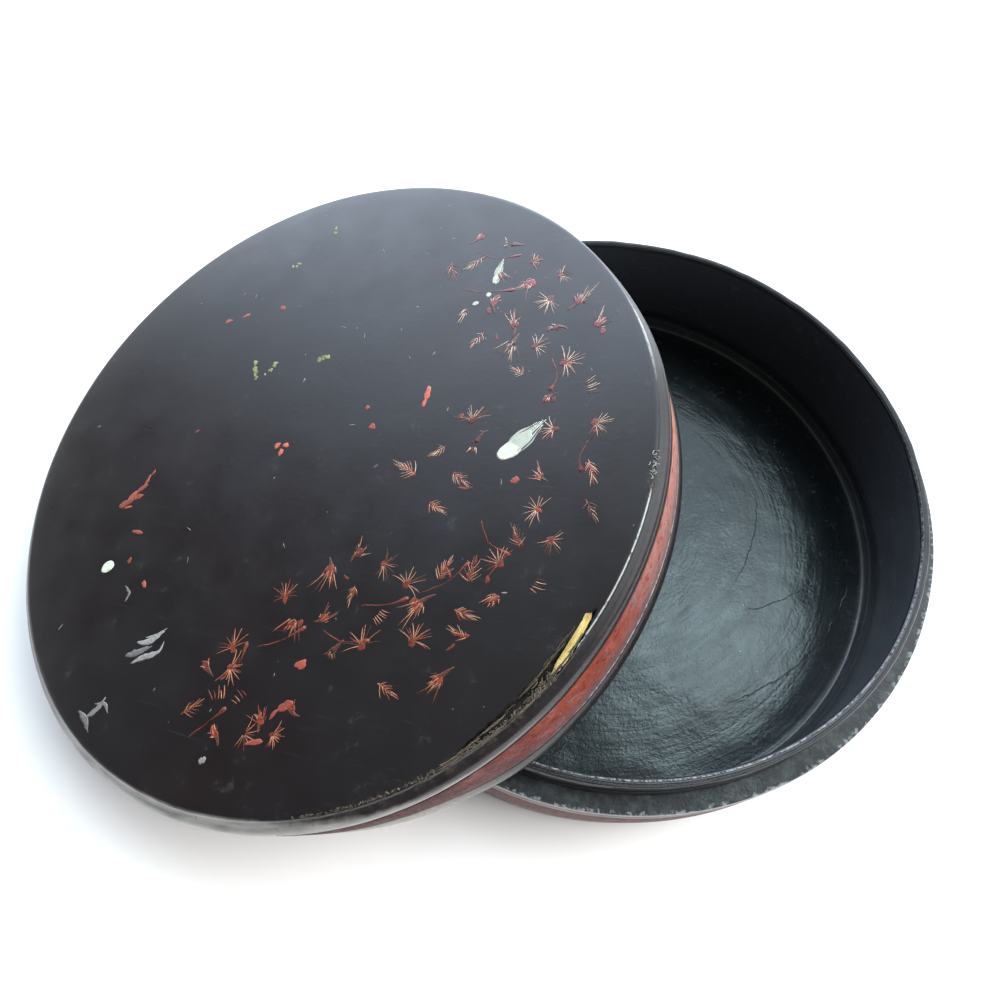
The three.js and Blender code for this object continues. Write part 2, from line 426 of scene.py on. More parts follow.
def make_lid():
    """The lid's mesh, with fields for its bare wood, crust and an edge line that is partly wear and partly
    a painted highlight.
    """

    def near_edge(radius, height):
        return (radius > 111.5) & (height > 34.5)

    outline = graded(softened(lid_outline(), 0.16), 8.0, 14, near_edge, 0.32)
    span = (math.radians(-94), math.radians(-14))
    angles = angles_round(230, span, 250)
    piece, grid = turned_surface("lid_lacquered", outline, angles, lid_unevenness, lid_place)

    def part_of(radius, height):
        top = (radius < 111) & (height > LID_CEILING + 2)
        under = (radius < LID_INSIDE + 0.4) & (height < LID_CEILING + 2)
        band = (radius > LID_INSIDE + 2) & (height > LID_BAND[0]) & (height < LID_BAND[1])
        return top * 1 + under * 2 + band * 3

    give_parts(piece, grid, part_of)
    x, y, height = grid.T
    radius, angle = np.hypot(x, y), np.arctan2(y, x)
    depth = split_cut(radius, np.full_like(height, LID_HEIGHT), angle) * (height > TOP_FROM)
    write_field(piece, "bare", smooth_step(depth, 0.15, 0.9))
    write_field(piece, "crust", crust_share(radius, height, angle))
    # The edge line: along the worn stretch a thin line of rubbed wear and painted highlight, and along the
    # raised side a broad painted highlight.
    line = np.exp(-(((radius - 116.3) / 0.21) ** 2)) * (height > LID_HEIGHT - 3)
    worn = between(angle, (math.radians(-47), math.radians(-17)), math.radians(4))
    faint = 0.25 * between(angle, (math.radians(-120), math.radians(-30)), math.radians(20))
    raised = between(angle, (math.radians(-10), math.radians(75)), math.radians(22))
    painted_highlight = 0.75 * raised * np.exp(-(((radius - 116.5) / 0.55) ** 2)) * (height > LID_HEIGHT - 3)
    write_field(piece, "edge_wear_and_highlight", np.maximum(line * np.clip(worn + faint, 0, 1), painted_highlight))
    return piece


def make_strip():
    """The strip of bare wood in the split: an arched section carried along it and furrowed."""
    along, across = 90, 14
    t = np.linspace(0, 1, along)
    angle = STRIP[0] + (STRIP[1] - STRIP[0]) * t
    middle = STRIP_RADII[0] + (STRIP_RADII[1] - STRIP_RADII[0]) * t
    half = STRIP_HALF * (0.6 + 0.4 * smooth_step(t, 0.0, 0.07))
    half = half * (1 - 0.75 * smooth_step(t, 0.74, 1.02))
    half = half * (1 + 0.02 * np.sin(31 * t) + 0.015 * np.sin(67 * t + 1))
    turn = np.arange(across) / across * 2 * math.pi
    side = half[:, None] * np.cos(turn)
    furrow = 0.09 * np.cos(6 * turn)[None, :] * (np.sin(turn) > 0)
    rise = 0.62 * (half / STRIP_HALF)[:, None] * (np.sin(turn) + furrow)
    radius = middle[:, None] + side
    top = LID_HEIGHT - CROWN_RISE * (radius / TOP_EDGE) ** CROWN_POWER
    height = top - 0.60 - 0.10 * t[:, None] + rise + 0.02 * np.sin(23 * t + 1)[:, None]
    x, y = radius * np.cos(angle)[:, None], radius * np.sin(angle)[:, None]
    points = lid_place(np.stack([x, y, height], -1))
    faces = ring_faces(along, across).tolist()
    faces.append(list(range(across))[::-1])
    faces.append([(along - 1) * across + k for k in range(across)])
    piece = put_mesh("split_wood_strip", points, faces)
    uv = piece.data.uv_layers.new(name="grain")
    corner = np.zeros(len(piece.data.loops), np.int32)
    piece.data.loops.foreach_get("vertex_index", corner)
    length = (corner // across) / along * STRIP_GRAIN[0]
    width = ((corner % across) / across) * STRIP_GRAIN[1]
    uv.data.foreach_set("uv", np.stack([length, width], -1).astype(np.float32).ravel())
    return piece


def make_splinters():
    """Torn lacquer and wood along the split and the edge past it, as thin raised slivers."""
    count, places = 60, 9
    t = np.linspace(0, 1, places)
    share = chance.uniform(0, 1, count) ** 0.8
    start = np.radians(-40.0 - 26 * share)
    long = chance.uniform(2.5, 9.0, count) / SPLIT_MIDDLE
    side = np.where(chance.uniform(0, 1, count) < 0.5, -1.0, 1.0)
    gap = np.interp(share, (0, 0.35, 1), (1.75, 1.55, 0.25))
    middle = np.interp(share, (0, 0.4, 1), (113.9, 115.4, 116.1))
    radius = middle + side * gap * chance.uniform(0.75, 1.15, count)
    radius = radius[:, None] + np.cumsum(chance.normal(0, 0.07, (count, places)), axis=1)
    angle = start[:, None] - long[:, None] * t
    paths = radius[..., None] * unit(angle)
    widths = chance.uniform(0.08, 0.24, (count, 1)) * (0.25 + 0.75 * np.sin(math.pi * (0.1 + 0.8 * t)))
    return strokes("edge_splinters", paths, widths, 0.22, chance.uniform(0, 1, count) ** 2.4)


def make_crumbs():
    """Grains of broken lacquer along the top's edge past the split, close-set and then thinning out."""
    count = 330
    share = chance.uniform(0, 1, count)
    angle = np.radians(-48.5 - 40.5 * share**1.8)
    radius = 116.1 + chance.normal(0, 0.55, count) * (1.15 - 0.9 * share)
    spots = radius[:, None] * unit(angle)
    sizes = chance.uniform(0.10, 0.30, (count, 1)) * chance.uniform((0.7, 0.5), (2.8, 1.2), (count, 2))
    turns = angle + math.pi / 2 + chance.normal(0, 0.5, count)
    tones = chance.uniform(0, 1, count) ** 3.4
    return dabs("edge_crumbs", spots, sizes, turns, 0.14, tones, 0.35, 19, 10)


def make_wrinkles():
    """A small wrinkled patch of lifted lacquer on the edge, as short curled ridges."""
    count, places = 26, 7
    t = np.linspace(0, 1, places)
    angle = np.radians(chance.uniform(-17.4, -13.2, count))
    radius = 115.6 + 0.5 * np.sin(np.linspace(0, 9, count)) + chance.normal(0, 0.35, count)
    start = radius[:, None] * unit(angle)
    turn = (angle + chance.normal(0.2, 0.9, count))[:, None] + chance.normal(0, 1.5, (count, 1)) * t
    longs = chance.uniform(0.8, 1.9, (count, 1)) / places
    paths = start[:, None] + np.cumsum(unit(turn) * longs[..., None], axis=1)
    widths = chance.uniform(0.09, 0.16, (count, 1)) * (0.3 + 0.7 * np.sin(math.pi * (0.1 + 0.8 * t)))
    return strokes("edge_wrinkles", paths, widths, 0.28, chance.uniform(0.3, 1, count))


# Painting on the lid


def strokes(name, paths, widths, lift, tones):
    """Brush strokes as thin raised lenses on the lid's top.

    paths is strokes x places x 2 in the lid's plan, widths the half width at each place. The section
    has five corners: two edges level with the lacquer, a flat crown over it and a keel under it.
    """
    paths, widths = np.asarray(paths, float), np.asarray(widths, float)
    count, places, _ = paths.shape
    step = np.gradient(paths, axis=1)
    step /= np.maximum(np.linalg.norm(step, axis=-1, keepdims=True), 1e-9)
    side = np.stack([-step[..., 1], step[..., 0]], -1) * widths[..., None]
    full = (widths / np.maximum(widths.max(axis=1, keepdims=True), 1e-9)) ** 0.5
    offsets = ((-1.0, 0.0), (-0.45, 0.9), (0.45, 0.9), (1.0, 0.0), (0.0, -0.8))
    rows = []
    for across, up in offsets:
        spot = paths + side * across
        height = lid_skin(spot[..., 0], spot[..., 1]) + lift * full * up
        rows.append(np.concatenate([spot, height[..., None]], -1))
    points = np.stack(rows, 2)
    ring = len(offsets)
    one = ring_faces(places, ring).tolist()
    one.append([(places - 1) * ring + k for k in range(ring)])
    one.append(list(range(ring))[::-1])
    faces = [[v + s * places * ring for v in face] for s in range(count) for face in one]
    piece = put_mesh(name, lid_place(points.reshape(-1, 3)), [f[::-1] for f in faces])
    write_field(piece, "tone", np.repeat(tones, places * ring))
    return piece


def dabs(name, middles, sizes, turns, lift, tones, ragged=0.22, seed=3, around=18):
    """Dabs of lacquer as low domes: ovals whose edges waver by seeded waves, closed all round."""
    pick = np.random.default_rng(seed)
    middles, sizes = np.asarray(middles, float), np.asarray(sizes, float)
    count = len(middles)
    turn = np.arange(around) / around * 2 * math.pi
    waves = sum(
        pick.uniform(0.3, 1, (count, 1)) * np.sin(k * turn + pick.uniform(0, 6.3, (count, 1))) / k**0.6
        for k in (2, 3, 5)
    )
    edge = 1 + ragged * waves
    levels = ((0.25, 0.98), (0.60, 0.88), (0.85, 0.55), (1.0, 0.0), (0.8, -0.6))
    c, s = np.cos(turns)[:, None], np.sin(turns)[:, None]
    rows = []
    for share, up in levels:
        u = sizes[:, :1] * edge * share * np.cos(turn)
        v = sizes[:, 1:] * edge * share * np.sin(turn)
        x, y = middles[:, :1] + u * c - v * s, middles[:, 1:] + u * s + v * c
        rows.append(np.stack([x, y, lid_skin(x, y) + lift * up], -1))
    points = np.stack(rows, 1)
    ring_count = len(levels)
    one = ring_faces(ring_count, around)[:, ::-1].tolist()
    one.append(list(range(around)))
    one.append([(ring_count - 1) * around + k for k in range(around)][::-1])
    size = ring_count * around
    faces = [[v + d * size for v in face] for d in range(count) for face in one]
    piece = put_mesh(name, lid_place(points.reshape(-1, 3)), faces)
    write_field(piece, "tone", np.repeat(tones, size))
    return piece


def bough(points, count):
    """Places and directions at even steps along a smooth curve through a few chosen points."""
    points = np.asarray(points, float)
    ends = 2 * points[[0]] - points[[1]], 2 * points[[-1]] - points[[-2]]
    p = np.concatenate([ends[0], points, ends[1]])
    t = np.linspace(0, len(points) - 1 - 1e-6, 40 * len(points))
    i, u = t.astype(int), (t % 1)[:, None]
    a, b, c, d = p[i], p[i + 1], p[i + 2], p[i + 3]
    curve = 2 * b + (c - a) * u + (2 * a - 5 * b + 4 * c - d) * u**2
    curve = 0.5 * (curve + (3 * (b - c) + d - a) * u**3)
    length = np.r_[0, np.cumsum(np.hypot(*np.diff(curve, axis=0).T))]
    walk = np.linspace(0, length[-1], count)
    place = np.stack([np.interp(walk, length, curve[:, k]) for k in (0, 1)], -1)
    heading = np.gradient(place, axis=0)
    return place, np.arctan2(heading[:, 1], heading[:, 0])


# Pine boughs by their bends in the lid's plan, with the sprigs each carries and how far they spread
BOUGHS = (
    (((56, 70), (72, 60), (88, 42), (96, 20)), 12, 7.5),
    (((60, 42), (72, 28), (84, 8), (92, -4)), 10, 7.0),
    (((99, -8), (88, -24), (84, -40), (70, -58)), 10, 8.5),
    (((60, -6), (50, -16), (40, -28)), 6, 6.0),
    (((66, -58), (48, -62), (28, -56), (12, -46)), 12, 7.5),
    (((54, -80), (30, -78), (8, -68), (-6, -56)), 9, 7.0),
    (((0, -92), (-16, -90), (-30, -82), (-20, -68)), 12, 7.0),
)

# How often each kind of sprig comes: half burst, comb, tuft, bud with a tail, and a few loose needles
KINDS = (0.27, 0.25, 0.21, 0.17, 0.10)

# The needles in a sprig of each kind: this many and up, and fewer than this
NEEDLES = ((9, 14), (11, 16), (13, 18), (5, 9), (4, 7))


def pine_sprigs():
    """Every sprig's root, direction, size and kind: set on both sides of the boughs, none too close."""
    roots, headings, sizes = [], [], []
    for bends, count, spread in BOUGHS:
        place, heading = bough(bends, count)
        side = np.where(np.arange(count) % 2, 1.0, -1.0) * chance.uniform(0.15, 1.0, count)
        away = heading + math.pi / 2
        roots.append(place + (side * spread)[:, None] * unit(away))
        headings.append(np.where(side > 0, away, away + math.pi) + chance.normal(0, 0.9, count))
        sizes.append(chance.uniform(0.82, 1.34, count))
    roots, headings, sizes = (np.concatenate(rows) for rows in (roots, headings, sizes))
    far = np.linalg.norm(roots[:, None] - roots[None], axis=-1)
    far = far + np.triu(np.full(far.shape, 99.0))
    keep = far.min(axis=1) > 4.9
    kinds = chance.choice(len(KINDS), len(roots), p=KINDS)
    return roots[keep], headings[keep], sizes[keep], kinds[keep]


def needle_rows(heading, size, kind):
    """Start, direction, bend and length of each needle of one sprig, from its root."""
    count = int(chance.integers(*NEEDLES[kind]))
    spread = np.linspace(-1, 1, count)
    ahead = np.array([math.cos(heading), math.sin(heading)])
    across = np.array([-ahead[1], ahead[0]])
    if kind == 0:
        turns = heading + spread * chance.uniform(1.2, 2.0)
        starts = 0.7 * size * unit(turns)
        longs = size * chance.uniform(2.6, 4.9, count)
        bends = 0.35 * spread
    elif kind == 1:
        starts = np.outer(np.abs(spread) * 4.6 * size, ahead)
        turns = heading + np.sign(spread) * np.interp(np.abs(spread), (0, 1), (1.25, 0.35))
        longs = size * chance.uniform(2.0, 3.6, count)
        bends = -0.45 * np.sign(spread)
    elif kind == 2:
        starts = np.outer(chance.uniform(-1.5, 1.6, count), ahead)
        starts = size * (starts + np.outer(spread * 1.4, across))
        turns = heading + 0.5 * spread
        longs = np.where(chance.uniform(0, 1, count) < 0.3, 4.6, 1.4)
        longs = size * longs * chance.uniform(0.8, 1.2, count)
        bends = 0.2 * spread
    elif kind == 3:
        starts = np.outer(chance.uniform(-0.6, 1.6, count), ahead)
        starts = size * (starts + np.outer(spread * 0.9, across))
        turns = heading + 0.8 * spread
        longs = size * chance.uniform(0.8, 1.9, count)
        bends = np.zeros(count)
    else:
        starts = size * np.outer(spread * 1.8, across)
        turns = heading + 0.25 * spread
        longs = size * chance.uniform(2.4, 4.4, count)
        bends = np.full(count, 0.3)
    return starts, turns + chance.normal(0, 0.08, count), bends + chance.normal(0, 0.12, count), longs


def make_painting():
    """Pine needles in three colours laid over each other, their bodies, twigs and stray dabs."""
    roots, headings, sizes, kinds = pine_sprigs()
    t = np.linspace(0, 1, 5)
    taper = np.array([0.75, 1.0, 0.85, 0.60, 0.15])
    laid = {"gold": [], "red": [], "brown": []}
    for root, heading, size, kind in zip(roots, headings, sizes, kinds):
        under = chance.choice(("red", "brown"), p=(0.6, 0.4))
        gilt = chance.uniform(0.35, 0.95)
        for start, turn, bend, long in zip(*needle_rows(heading, size, kind)):
            angle = turn + bend * t
            step = unit(angle) * long / 4
            path = root + start + np.concatenate([[[0, 0]], np.cumsum(step[1:], axis=0)])
            base = under if chance.uniform() < 0.75 else "brown"
            laid[base].append((path, chance.uniform(0.15, 0.24) * taper, chance.uniform(0, 1)))
            if chance.uniform() < gilt:
                moved = path + chance.normal(0, 0.09, 2)
                thin = chance.uniform(0.075, 0.135) * (1.5 if kind == 3 else 1.0)
                laid["gold"].append((moved, thin * taper, chance.uniform(0, 1)))
    made = {}
    for colour, lift in (("gold", 0.13), ("red", 0.09), ("brown", 0.07)):
        paths, widths, tones = (np.array(rows) for rows in zip(*laid[colour]))
        made[colour] = [strokes(f"pine_needles_{colour}", paths, widths, lift, tones)]
    made["red"].append(make_pine_bodies(roots, headings, sizes, kinds))
    made["brown"].append(make_pine_tails(roots, headings, sizes, kinds))
    made["red"].append(make_twigs())
    made["coral"] = [make_stray_dabs()]
    made["ochre"] = [make_ochre_flecks()]
    made["bare"] = make_bare_spots()
    made["smear"] = [make_smears()]
    made["torn"] = [make_splinters(), make_crumbs()]
    made["ridge"] = [make_wrinkles()]
    return made


def make_pine_bodies(roots, headings, sizes, kinds):
    """The sprigs' bodies: uneven dabs under the needles, long for a comb and round for a tuft."""
    shapes = np.array([(1.3, 1.0), (2.5, 0.75), (1.9, 1.5), (2.0, 1.25), (0.8, 0.5)])
    lead = np.array([0.1, 2.2, 0.0, 0.4, -0.8])
    keep = (kinds < 4) & (chance.uniform(0, 1, len(roots)) < 0.88)
    ahead = unit(headings[keep])
    count = keep.sum()
    size = sizes[keep, None] * shapes[kinds[keep]] * chance.uniform(0.75, 1.15, (count, 2))
    spots = roots[keep] + ahead * (lead[kinds[keep]] * sizes[keep])[:, None]
    turn = headings[keep] + chance.normal(0, 0.25, count)
    beside = spots + (size[:, :1] + 0.6) * chance.normal(0, 0.8, (count, 2))
    pick = chance.uniform(0, 1, count) < 0.4
    spots = np.concatenate([spots, beside[pick]])
    size = np.concatenate([size, size[pick] * (0.65, 0.6)])
    turn = np.concatenate([turn, turn[pick] + 0.8])
    return dabs("pine_bodies", spots, size, turn, 0.08, chance.uniform(0.0, 1.0, len(spots)), 0.30, 7)


def make_pine_tails(roots, headings, sizes, kinds):
    """Stems behind the buds and tufts, thick at the body and drawn out to a point."""
    keep = (kinds == 3) | ((kinds == 2) & (chance.uniform(0, 1, len(roots)) < 0.5))
    count, places = keep.sum(), 8
    t = np.linspace(0, 1, places)
    turn = headings[keep] + math.pi + chance.normal(0, 0.25, count)
    angle = turn[:, None] + chance.normal(0, 0.5, (count, 1)) * t
    longs = sizes[keep] * chance.uniform(3.5, 6.0, count) / places
    paths = roots[keep][:, None] + np.cumsum(unit(angle) * longs[:, None, None], axis=1)
    widths = sizes[keep][:, None] * np.interp(t, (0, 0.3, 1), (0.95, 0.6, 0.12))
    return strokes("pine_tails", paths, widths, 0.06, chance.uniform(0.2, 1, count))


def make_twigs():
    """Short bent twigs between the sprigs: thin strokes that swell to a knob at one end."""
    bends = (
        ((63, 66), (70, 60), (79, 59)),
        ((57, 50), (65, 46), (76, 44)),
        ((70, 36), (74, 33), (75, 28)),
        ((86, 12), (87, 5), (84, 0)),
        ((94, -20), (91, -25), (91, -30)),
        ((60, -40), (62, -47), (68, -52)),
        ((22, -60), (30, -61), (37, -60)),
        ((41, -59), (49, -57), (56, -52)),
        ((-12, -68), (-4, -67), (4, -64)),
        ((10, -66), (16, -70), (25, -71)),
        ((-33, -92), (-26, -88), (-21, -85)),
        ((-24, -76), (-18, -72), (-16, -66)),
    )
    places = 14
    t = np.linspace(0, 1, places)
    paths = np.array([bough(b, places)[0] for b in bends])
    paths = paths + chance.normal(0, 0.07, paths.shape)
    knob = 0.75 * np.exp(-(((t - 0.93) / 0.08) ** 2))
    swell_up = 0.45 + 0.35 * np.sin(9 * t) * t + knob - 0.2 * (1 - t)
    widths = np.outer(chance.uniform(0.42, 0.62, len(bends)), swell_up)
    return strokes("pine_twigs", paths, widths, 0.10, chance.uniform(0.2, 1, len(bends)))


def make_stray_dabs():
    """Lone red marks on the empty side: a comma, three petals, a leaf and small dots."""
    rows = (
        (43.6, 9.5, 2.6, 1.1, 75, 0.9),
        (42.4, 6.1, 1.9, 0.6, 66, 0.9),
        (-12.0, 2.2, 1.3, 0.9, 20, 0.75),
        (-8.6, 1.6, 1.2, 0.9, 150, 0.8),
        (-10.4, -0.8, 1.3, 0.9, 80, 0.8),
        (-72.6, -8.0, 2.6, 1.5, 20, 0.05),
        (-70.2, -5.8, 2.6, 1.2, 42, 0.30),
        (-67.6, -6.4, 2.2, 0.9, 5, 0.10),
        (-66.6, -3.2, 2.4, 1.0, 40, 0.05),
        (-64.6, -0.2, 1.9, 0.7, 62, 0.25),
        (-62.6, 2.4, 1.3, 0.5, 60, 0.05),
        (-71.2, -9.8, 1.5, 0.5, 0, 0.45),
        (-39.5, 65.0, 1.7, 0.8, -10, 0.3),
        (-31.5, 65.3, 1.5, 0.8, 10, 0.3),
        (-15.5, 64.0, 1.2, 1.4, 70, 0.0),
        (21.8, 9.4, 0.7, 1.0, 20, 0.2),
        (23.8, 1.4, 1.1, 1.3, 0, 0.15),
        (-65.0, -20.6, 2.4, 0.7, -15, 0.1),
        (-66.2, -31.0, 0.8, 1.0, 0, 0.0),
        (-58.3, -40.8, 0.9, 1.2, 20, 0.4),
        (-46.5, 16.0, 0.8, 0.4, 30, 0.0),
        (71.0, -28.6, 1.4, 1.1, 0, 0.15),
        (-1.2, -86.6, 2.4, 1.3, 15, 0.1),
        (-4.8, -88.4, 1.8, 0.6, 40, 0.1),
        (-10.5, -95.6, 2.9, 0.8, 5, 0.15),
        (3.0, -75.2, 2.2, 1.2, 10, 0.25),
    )
    table = np.array(rows, float)
    turns = np.radians(table[:, 4])
    return dabs("red_dabs", table[:, :2], table[:, 2:4], turns, 0.09, table[:, 5], 0.34, 11)


def make_ochre_flecks():
    """Yellow-green flecks, each a few small dabs along a short line."""
    middles = (
        (-24.5, 37.0, 100, 9),
        (-17.5, 36.5, 50, 6),
        (3.5, 35.0, 15, 5),
        (5.2, 98.0, 90, 3),
        (-11.0, 84.5, 20, 4),
    )
    spots, sizes = [], []
    for x, y, turn, count in middles:
        along = np.linspace(-0.5, 0.5, count)[:, None] * count * 0.8
        way = np.array([math.cos(math.radians(turn)), math.sin(math.radians(turn))])
        spots.append(np.array([x, y]) + along * way + chance.normal(0, 0.35, (count, 2)))
        sizes.append(chance.uniform(0.45, 1.0, (count, 2)))
    spots, sizes = np.concatenate(spots), np.concatenate(sizes)
    turns = chance.uniform(0, 3, len(spots))
    return dabs("ochre_flecks", spots, sizes, turns, 0.06, chance.uniform(0, 1, len(spots)), 0.3, 13)


def streaked_drop(middle, turn, long, wide, count, tail):
    """Strokes side by side that fill a drop: blunt at its head and streaked out towards its tail."""
    across = np.linspace(-1, 1, count)
    head = -0.30 * np.sqrt(1 - 0.9 * across**2)
    end = 0.42 + 0.42 * tail * chance.uniform(0.2, 1, count) * (1 - 0.7 * np.abs(across))
    t = np.linspace(0, 1, 10)
    u = (head[:, None] + (end - head)[:, None] * t) * long
    pinch = 1 - 0.55 * smooth_step(t, 0.35, 1.0)
    v = across[:, None] * 0.5 * wide * pinch + chance.normal(0, 0.04 * wide, (count, 1))
    c, s = math.cos(turn), math.sin(turn)
    paths = np.stack([middle[0] + u * c - v * s, middle[1] + u * s + v * c], -1)
    half = 0.75 * wide / count * chance.uniform(0.7, 1.2, (count, 1))
    widths = half * (0.35 + 0.65 * np.sin(math.pi * np.clip(t * 1.15 + 0.08, 0, 1)))
    return paths, widths, np.clip(1.0 - 0.8 * np.abs(across) + chance.normal(0, 0.12, count), 0, 1)


def make_bare_spots():
    """Places where the lacquer has lifted off its pale ground: cream heads with streaked grey tails."""
    drops = (
        ((73.0, -16.0), math.radians(34), 15.0, 5.6, 15, 1.0),
        ((70.4, 53.0), math.radians(70), 9.0, 2.6, 9, 1.0),
        ((-75.2, -31.8), math.radians(15), 4.4, 3.2, 9, 0.1),
    )
    made = [streaked_drop(*drop) for drop in drops]
    paths, widths, tones = (np.concatenate([m[k] for m in made]) for k in range(3))
    tails = strokes("bare_ground_tails", paths, widths, 0.05, 0.30 + 0.35 * tones)
    heads = np.array(
        [
            (70.2, -17.9, 4.6, 2.9, 30, 1.0),
            (73.6, -15.4, 4.6, 2.3, 34, 0.45),
            (69.4, 50.6, 2.2, 1.3, 80, 0.75),
            (66.4, 44.6, 1.0, 0.9, 60, 0.8),
            (-75.2, -31.8, 2.6, 2.1, 20, 0.95),
            (61.6, 42.2, 1.2, 0.8, 10, 0.6),
        ]
    )
    flat = heads[:, :2], heads[:, 2:4], np.radians(heads[:, 4])
    return [tails, dabs("bare_ground_heads", *flat, 0.05, heads[:, 5], 0.09, 17)]


def make_smears():
    """Pale rubbed smears in bent sweeps, and short flecks scattered more thickly at the upper right."""
    sweeps = (
        (((-57, -60.6), (-53, -61.2), (-47.0, -58.4)), 2.2, 0.80),
        (((-54, -59.6), (-50, -59.2), (-46.4, -57.6)), 1.1, 0.65),
        (((-58.5, -67.4), (-54, -66.0), (-48, -65.0)), 2.0, 0.70),
        (((-52, -66.8), (-48, -64.6), (-46.6, -61.6)), 1.1, 0.60),
        (((-61, -64.5), (-56, -64.0), (-51, -62.6)), 2.4, 0.02),
        (((-73, -82.5), (-69, -80.3), (-66, -77.0)), 1.8, 0.35),
        (((-70, -78.5), (-66, -79.0), (-64, -82.0)), 1.2, 0.25),
        (((-76, -80.0), (-73, -83.0), (-71, -87.0)), 2.2, 0.05),
        (((-28.6, -99.3), (-27.4, -98.9), (-26.2, -98.6)), 1.9, 0.55),
        (((-66, -40.0), (-64, -43.0), (-65, -46.0)), 1.0, 0.10),
    )
    paths, widths, tones = [], [], []
    t = np.linspace(0, 1, 10)
    for bends, wide, tone in sweeps:
        paths.append(bough(bends, 10)[0] + chance.normal(0, 0.10, (10, 2)))
        swelling = np.sin(math.pi * np.clip(t * 0.9 + chance.uniform(0.02, 0.12), 0, 1))
        widths.append(wide / 2 * (swelling + chance.normal(0, 0.08, 10)).clip(0.05))
        tones.append(tone + chance.uniform(-0.1, 0.15))
    count = 150
    spot = np.stack([chance.uniform(-100, 106, count), chance.uniform(-100, 104, count)], -1)
    chosen = chance.uniform(0, 1, count) < 0.30 + 0.5 * smooth_step(spot[:, 0] + spot[:, 1], 20, 110)
    for place in spot[chosen & (np.hypot(*spot.T) < 108)]:
        turn = chance.uniform(0, math.pi) + chance.normal(0, 0.5) * t
        long = chance.uniform(0.6, 3.0)
        paths.append(place + np.cumsum(unit(turn), axis=0) * long / 10)
        widths.append(chance.uniform(0.10, 0.32) * np.sin(math.pi * (0.06 + 0.88 * t)))
        tones.append(chance.uniform(0.0, 0.45))
    return strokes("pale_smears", np.array(paths), np.array(widths), 0.03, np.array(tones))


# Materials


def linear(colour):
    """An sRGB hex colour as linear red, green, blue and alpha."""
    value = np.array([int(colour[i : i + 2], 16) for i in (1, 3, 5)]) / 255
    value = np.where(value <= 0.04045, value / 12.92, ((value + 0.055) / 1.055) ** 2.4)
    return (*value.tolist(), 1.0)


# Settings of the nodes that come most often
TIMES = {"operation": "MULTIPLY"}
PLUS = {"operation": "ADD"}
LESS = {"operation": "SUBTRACT"}
EASED = {"interpolation_type": "SMOOTHSTEP"}


def add_node(tree, kind, *values, out=None, **settings):
    """Adds a node with its settings and fills its sockets in order: numbers, hex colours or links.

    It gives the node's first output, or the one that out names. Values that are left over go to
    further nodes of the same kind, each of which starts from the result before.
    """
    node = tree.nodes.new("ShaderNode" + kind)
    for name, value in settings.items():
        setattr(node, name, value)
    sockets = [socket for socket in node.inputs if socket.enabled]
    for socket, value in zip(sockets, values):
        if isinstance(value, bpy.types.NodeSocket):
            tree.links.new(value, socket)
        elif value is not None:
            socket.default_value = linear(value) if isinstance(value, str) else value
    result = node.outputs[out] if out else next(socket for socket in node.outputs if socket.enabled)
    left = values[len(sockets) :]
    return add_node(tree, kind, result, *left, **settings) if left else result


def new_material(name, **shader):
    """A new material with its shader's own sockets set, and the function that adds nodes to it."""
    material = bpy.data.materials.new(name)
    material.use_nodes = True
    surface = material.node_tree.nodes["Principled BSDF"]
    for key, value in shader.items():
        surface.inputs[key.replace("_", " ")].default_value = value
    return material, partial(add_node, material.node_tree)


def finish_material(material, add, colour, rough, relief, deep):
    """Links colour, roughness and relief to the shader.

    One unit of relief stands for deep millimetres.
    """
    tree = material.node_tree
    surface = tree.nodes["Principled BSDF"]
    tree.links.new(colour, surface.inputs["Base Color"])
    if rough is not None:
        tree.links.new(rough, surface.inputs["Roughness"])
    if relief is not None:
        tree.links.new(add("Bump", 1.0, deep * MM, None, relief), surface.inputs["Normal"])
    return material


def laid_over(add, colour, *layers):
    """Colours laid one after another over the first.

    What stands before the colour in its layer is multiplied to give its share.
    """
    for *factors, tint in layers:
        share = add("Math", *factors, **TIMES) if len(factors) > 1 else factors[0]
        colour = add("Mix", share, colour, tint, data_type="RGBA")
    return colour


def place_mm(add, lid):
    """Object coordinates in millimetres, in the lid's frame or the box's."""
    middle = Vector(LID_MIDDLE) * MM if lid else Vector((0, 0, 0))
    turn = (0, -LID_LEAN, 0) if lid else (0, 0, 0)
    where = add("TexCoord", out="Object")
    return add("Mapping", where, middle, turn, (MM, MM, MM), vector_type="TEXTURE")


def patches(add, place, size, detail, roughness=0.55, stretch=(1, 1, 1)):
    """Noise whose largest patches are size millimetres across, drawn out along an axis by stretch."""
    share = tuple(1 / (size * s) for s in stretch)
    scaled = add("VectorMath", place, share, **TIMES)
    return add("TexNoise", scaled, 1.0, detail, roughness)


def wavering(add, place, size, detail, reach):
    """Noise that swings either side of nought, by half of reach at the most."""
    swing = add("Math", patches(add, place, size, detail), 0.5, **LESS)
    return add("Math", swing, reach, **TIMES)


def line_at(add, value, middle, wide, core):
    """One where a value is within core of middle, and nought from wide on."""
    off = add("Math", add("Math", value, middle, **LESS), operation="ABSOLUTE")
    return add("MapRange", off, wide, core)


def specks(add, place, size, share, seed):
    """Small round specks: one in some cells of a random grid of the given size, as nought to one."""
    scaled = add("VectorMath", place, (1 / size,) * 3, **TIMES)
    moved = add("VectorMath", scaled, (seed, seed * 1.7, seed * 0.3), **PLUS)
    far = add("TexVoronoi", moved, 1.0)
    chosen = add("SeparateColor", far.node.outputs["Color"], out="Red")
    big = add("MapRange", chosen, 1 - share, 1.0, 0.0, 0.075)
    near = add("Math", big, far, **LESS)
    return add("MapRange", near, 0.0, 0.03)


def scratches(add, place, size, turn, seed):
    """Fine straight scratches: long drawn-out noise, kept only where it is highest."""
    turned = add("Mapping", place, (seed, seed, 0), (0, 0, turn))
    lines = patches(add, turned, size, 1.0, 0.5, (90, 1, 1))
    return add("MapRange", lines, 0.70, 0.80)


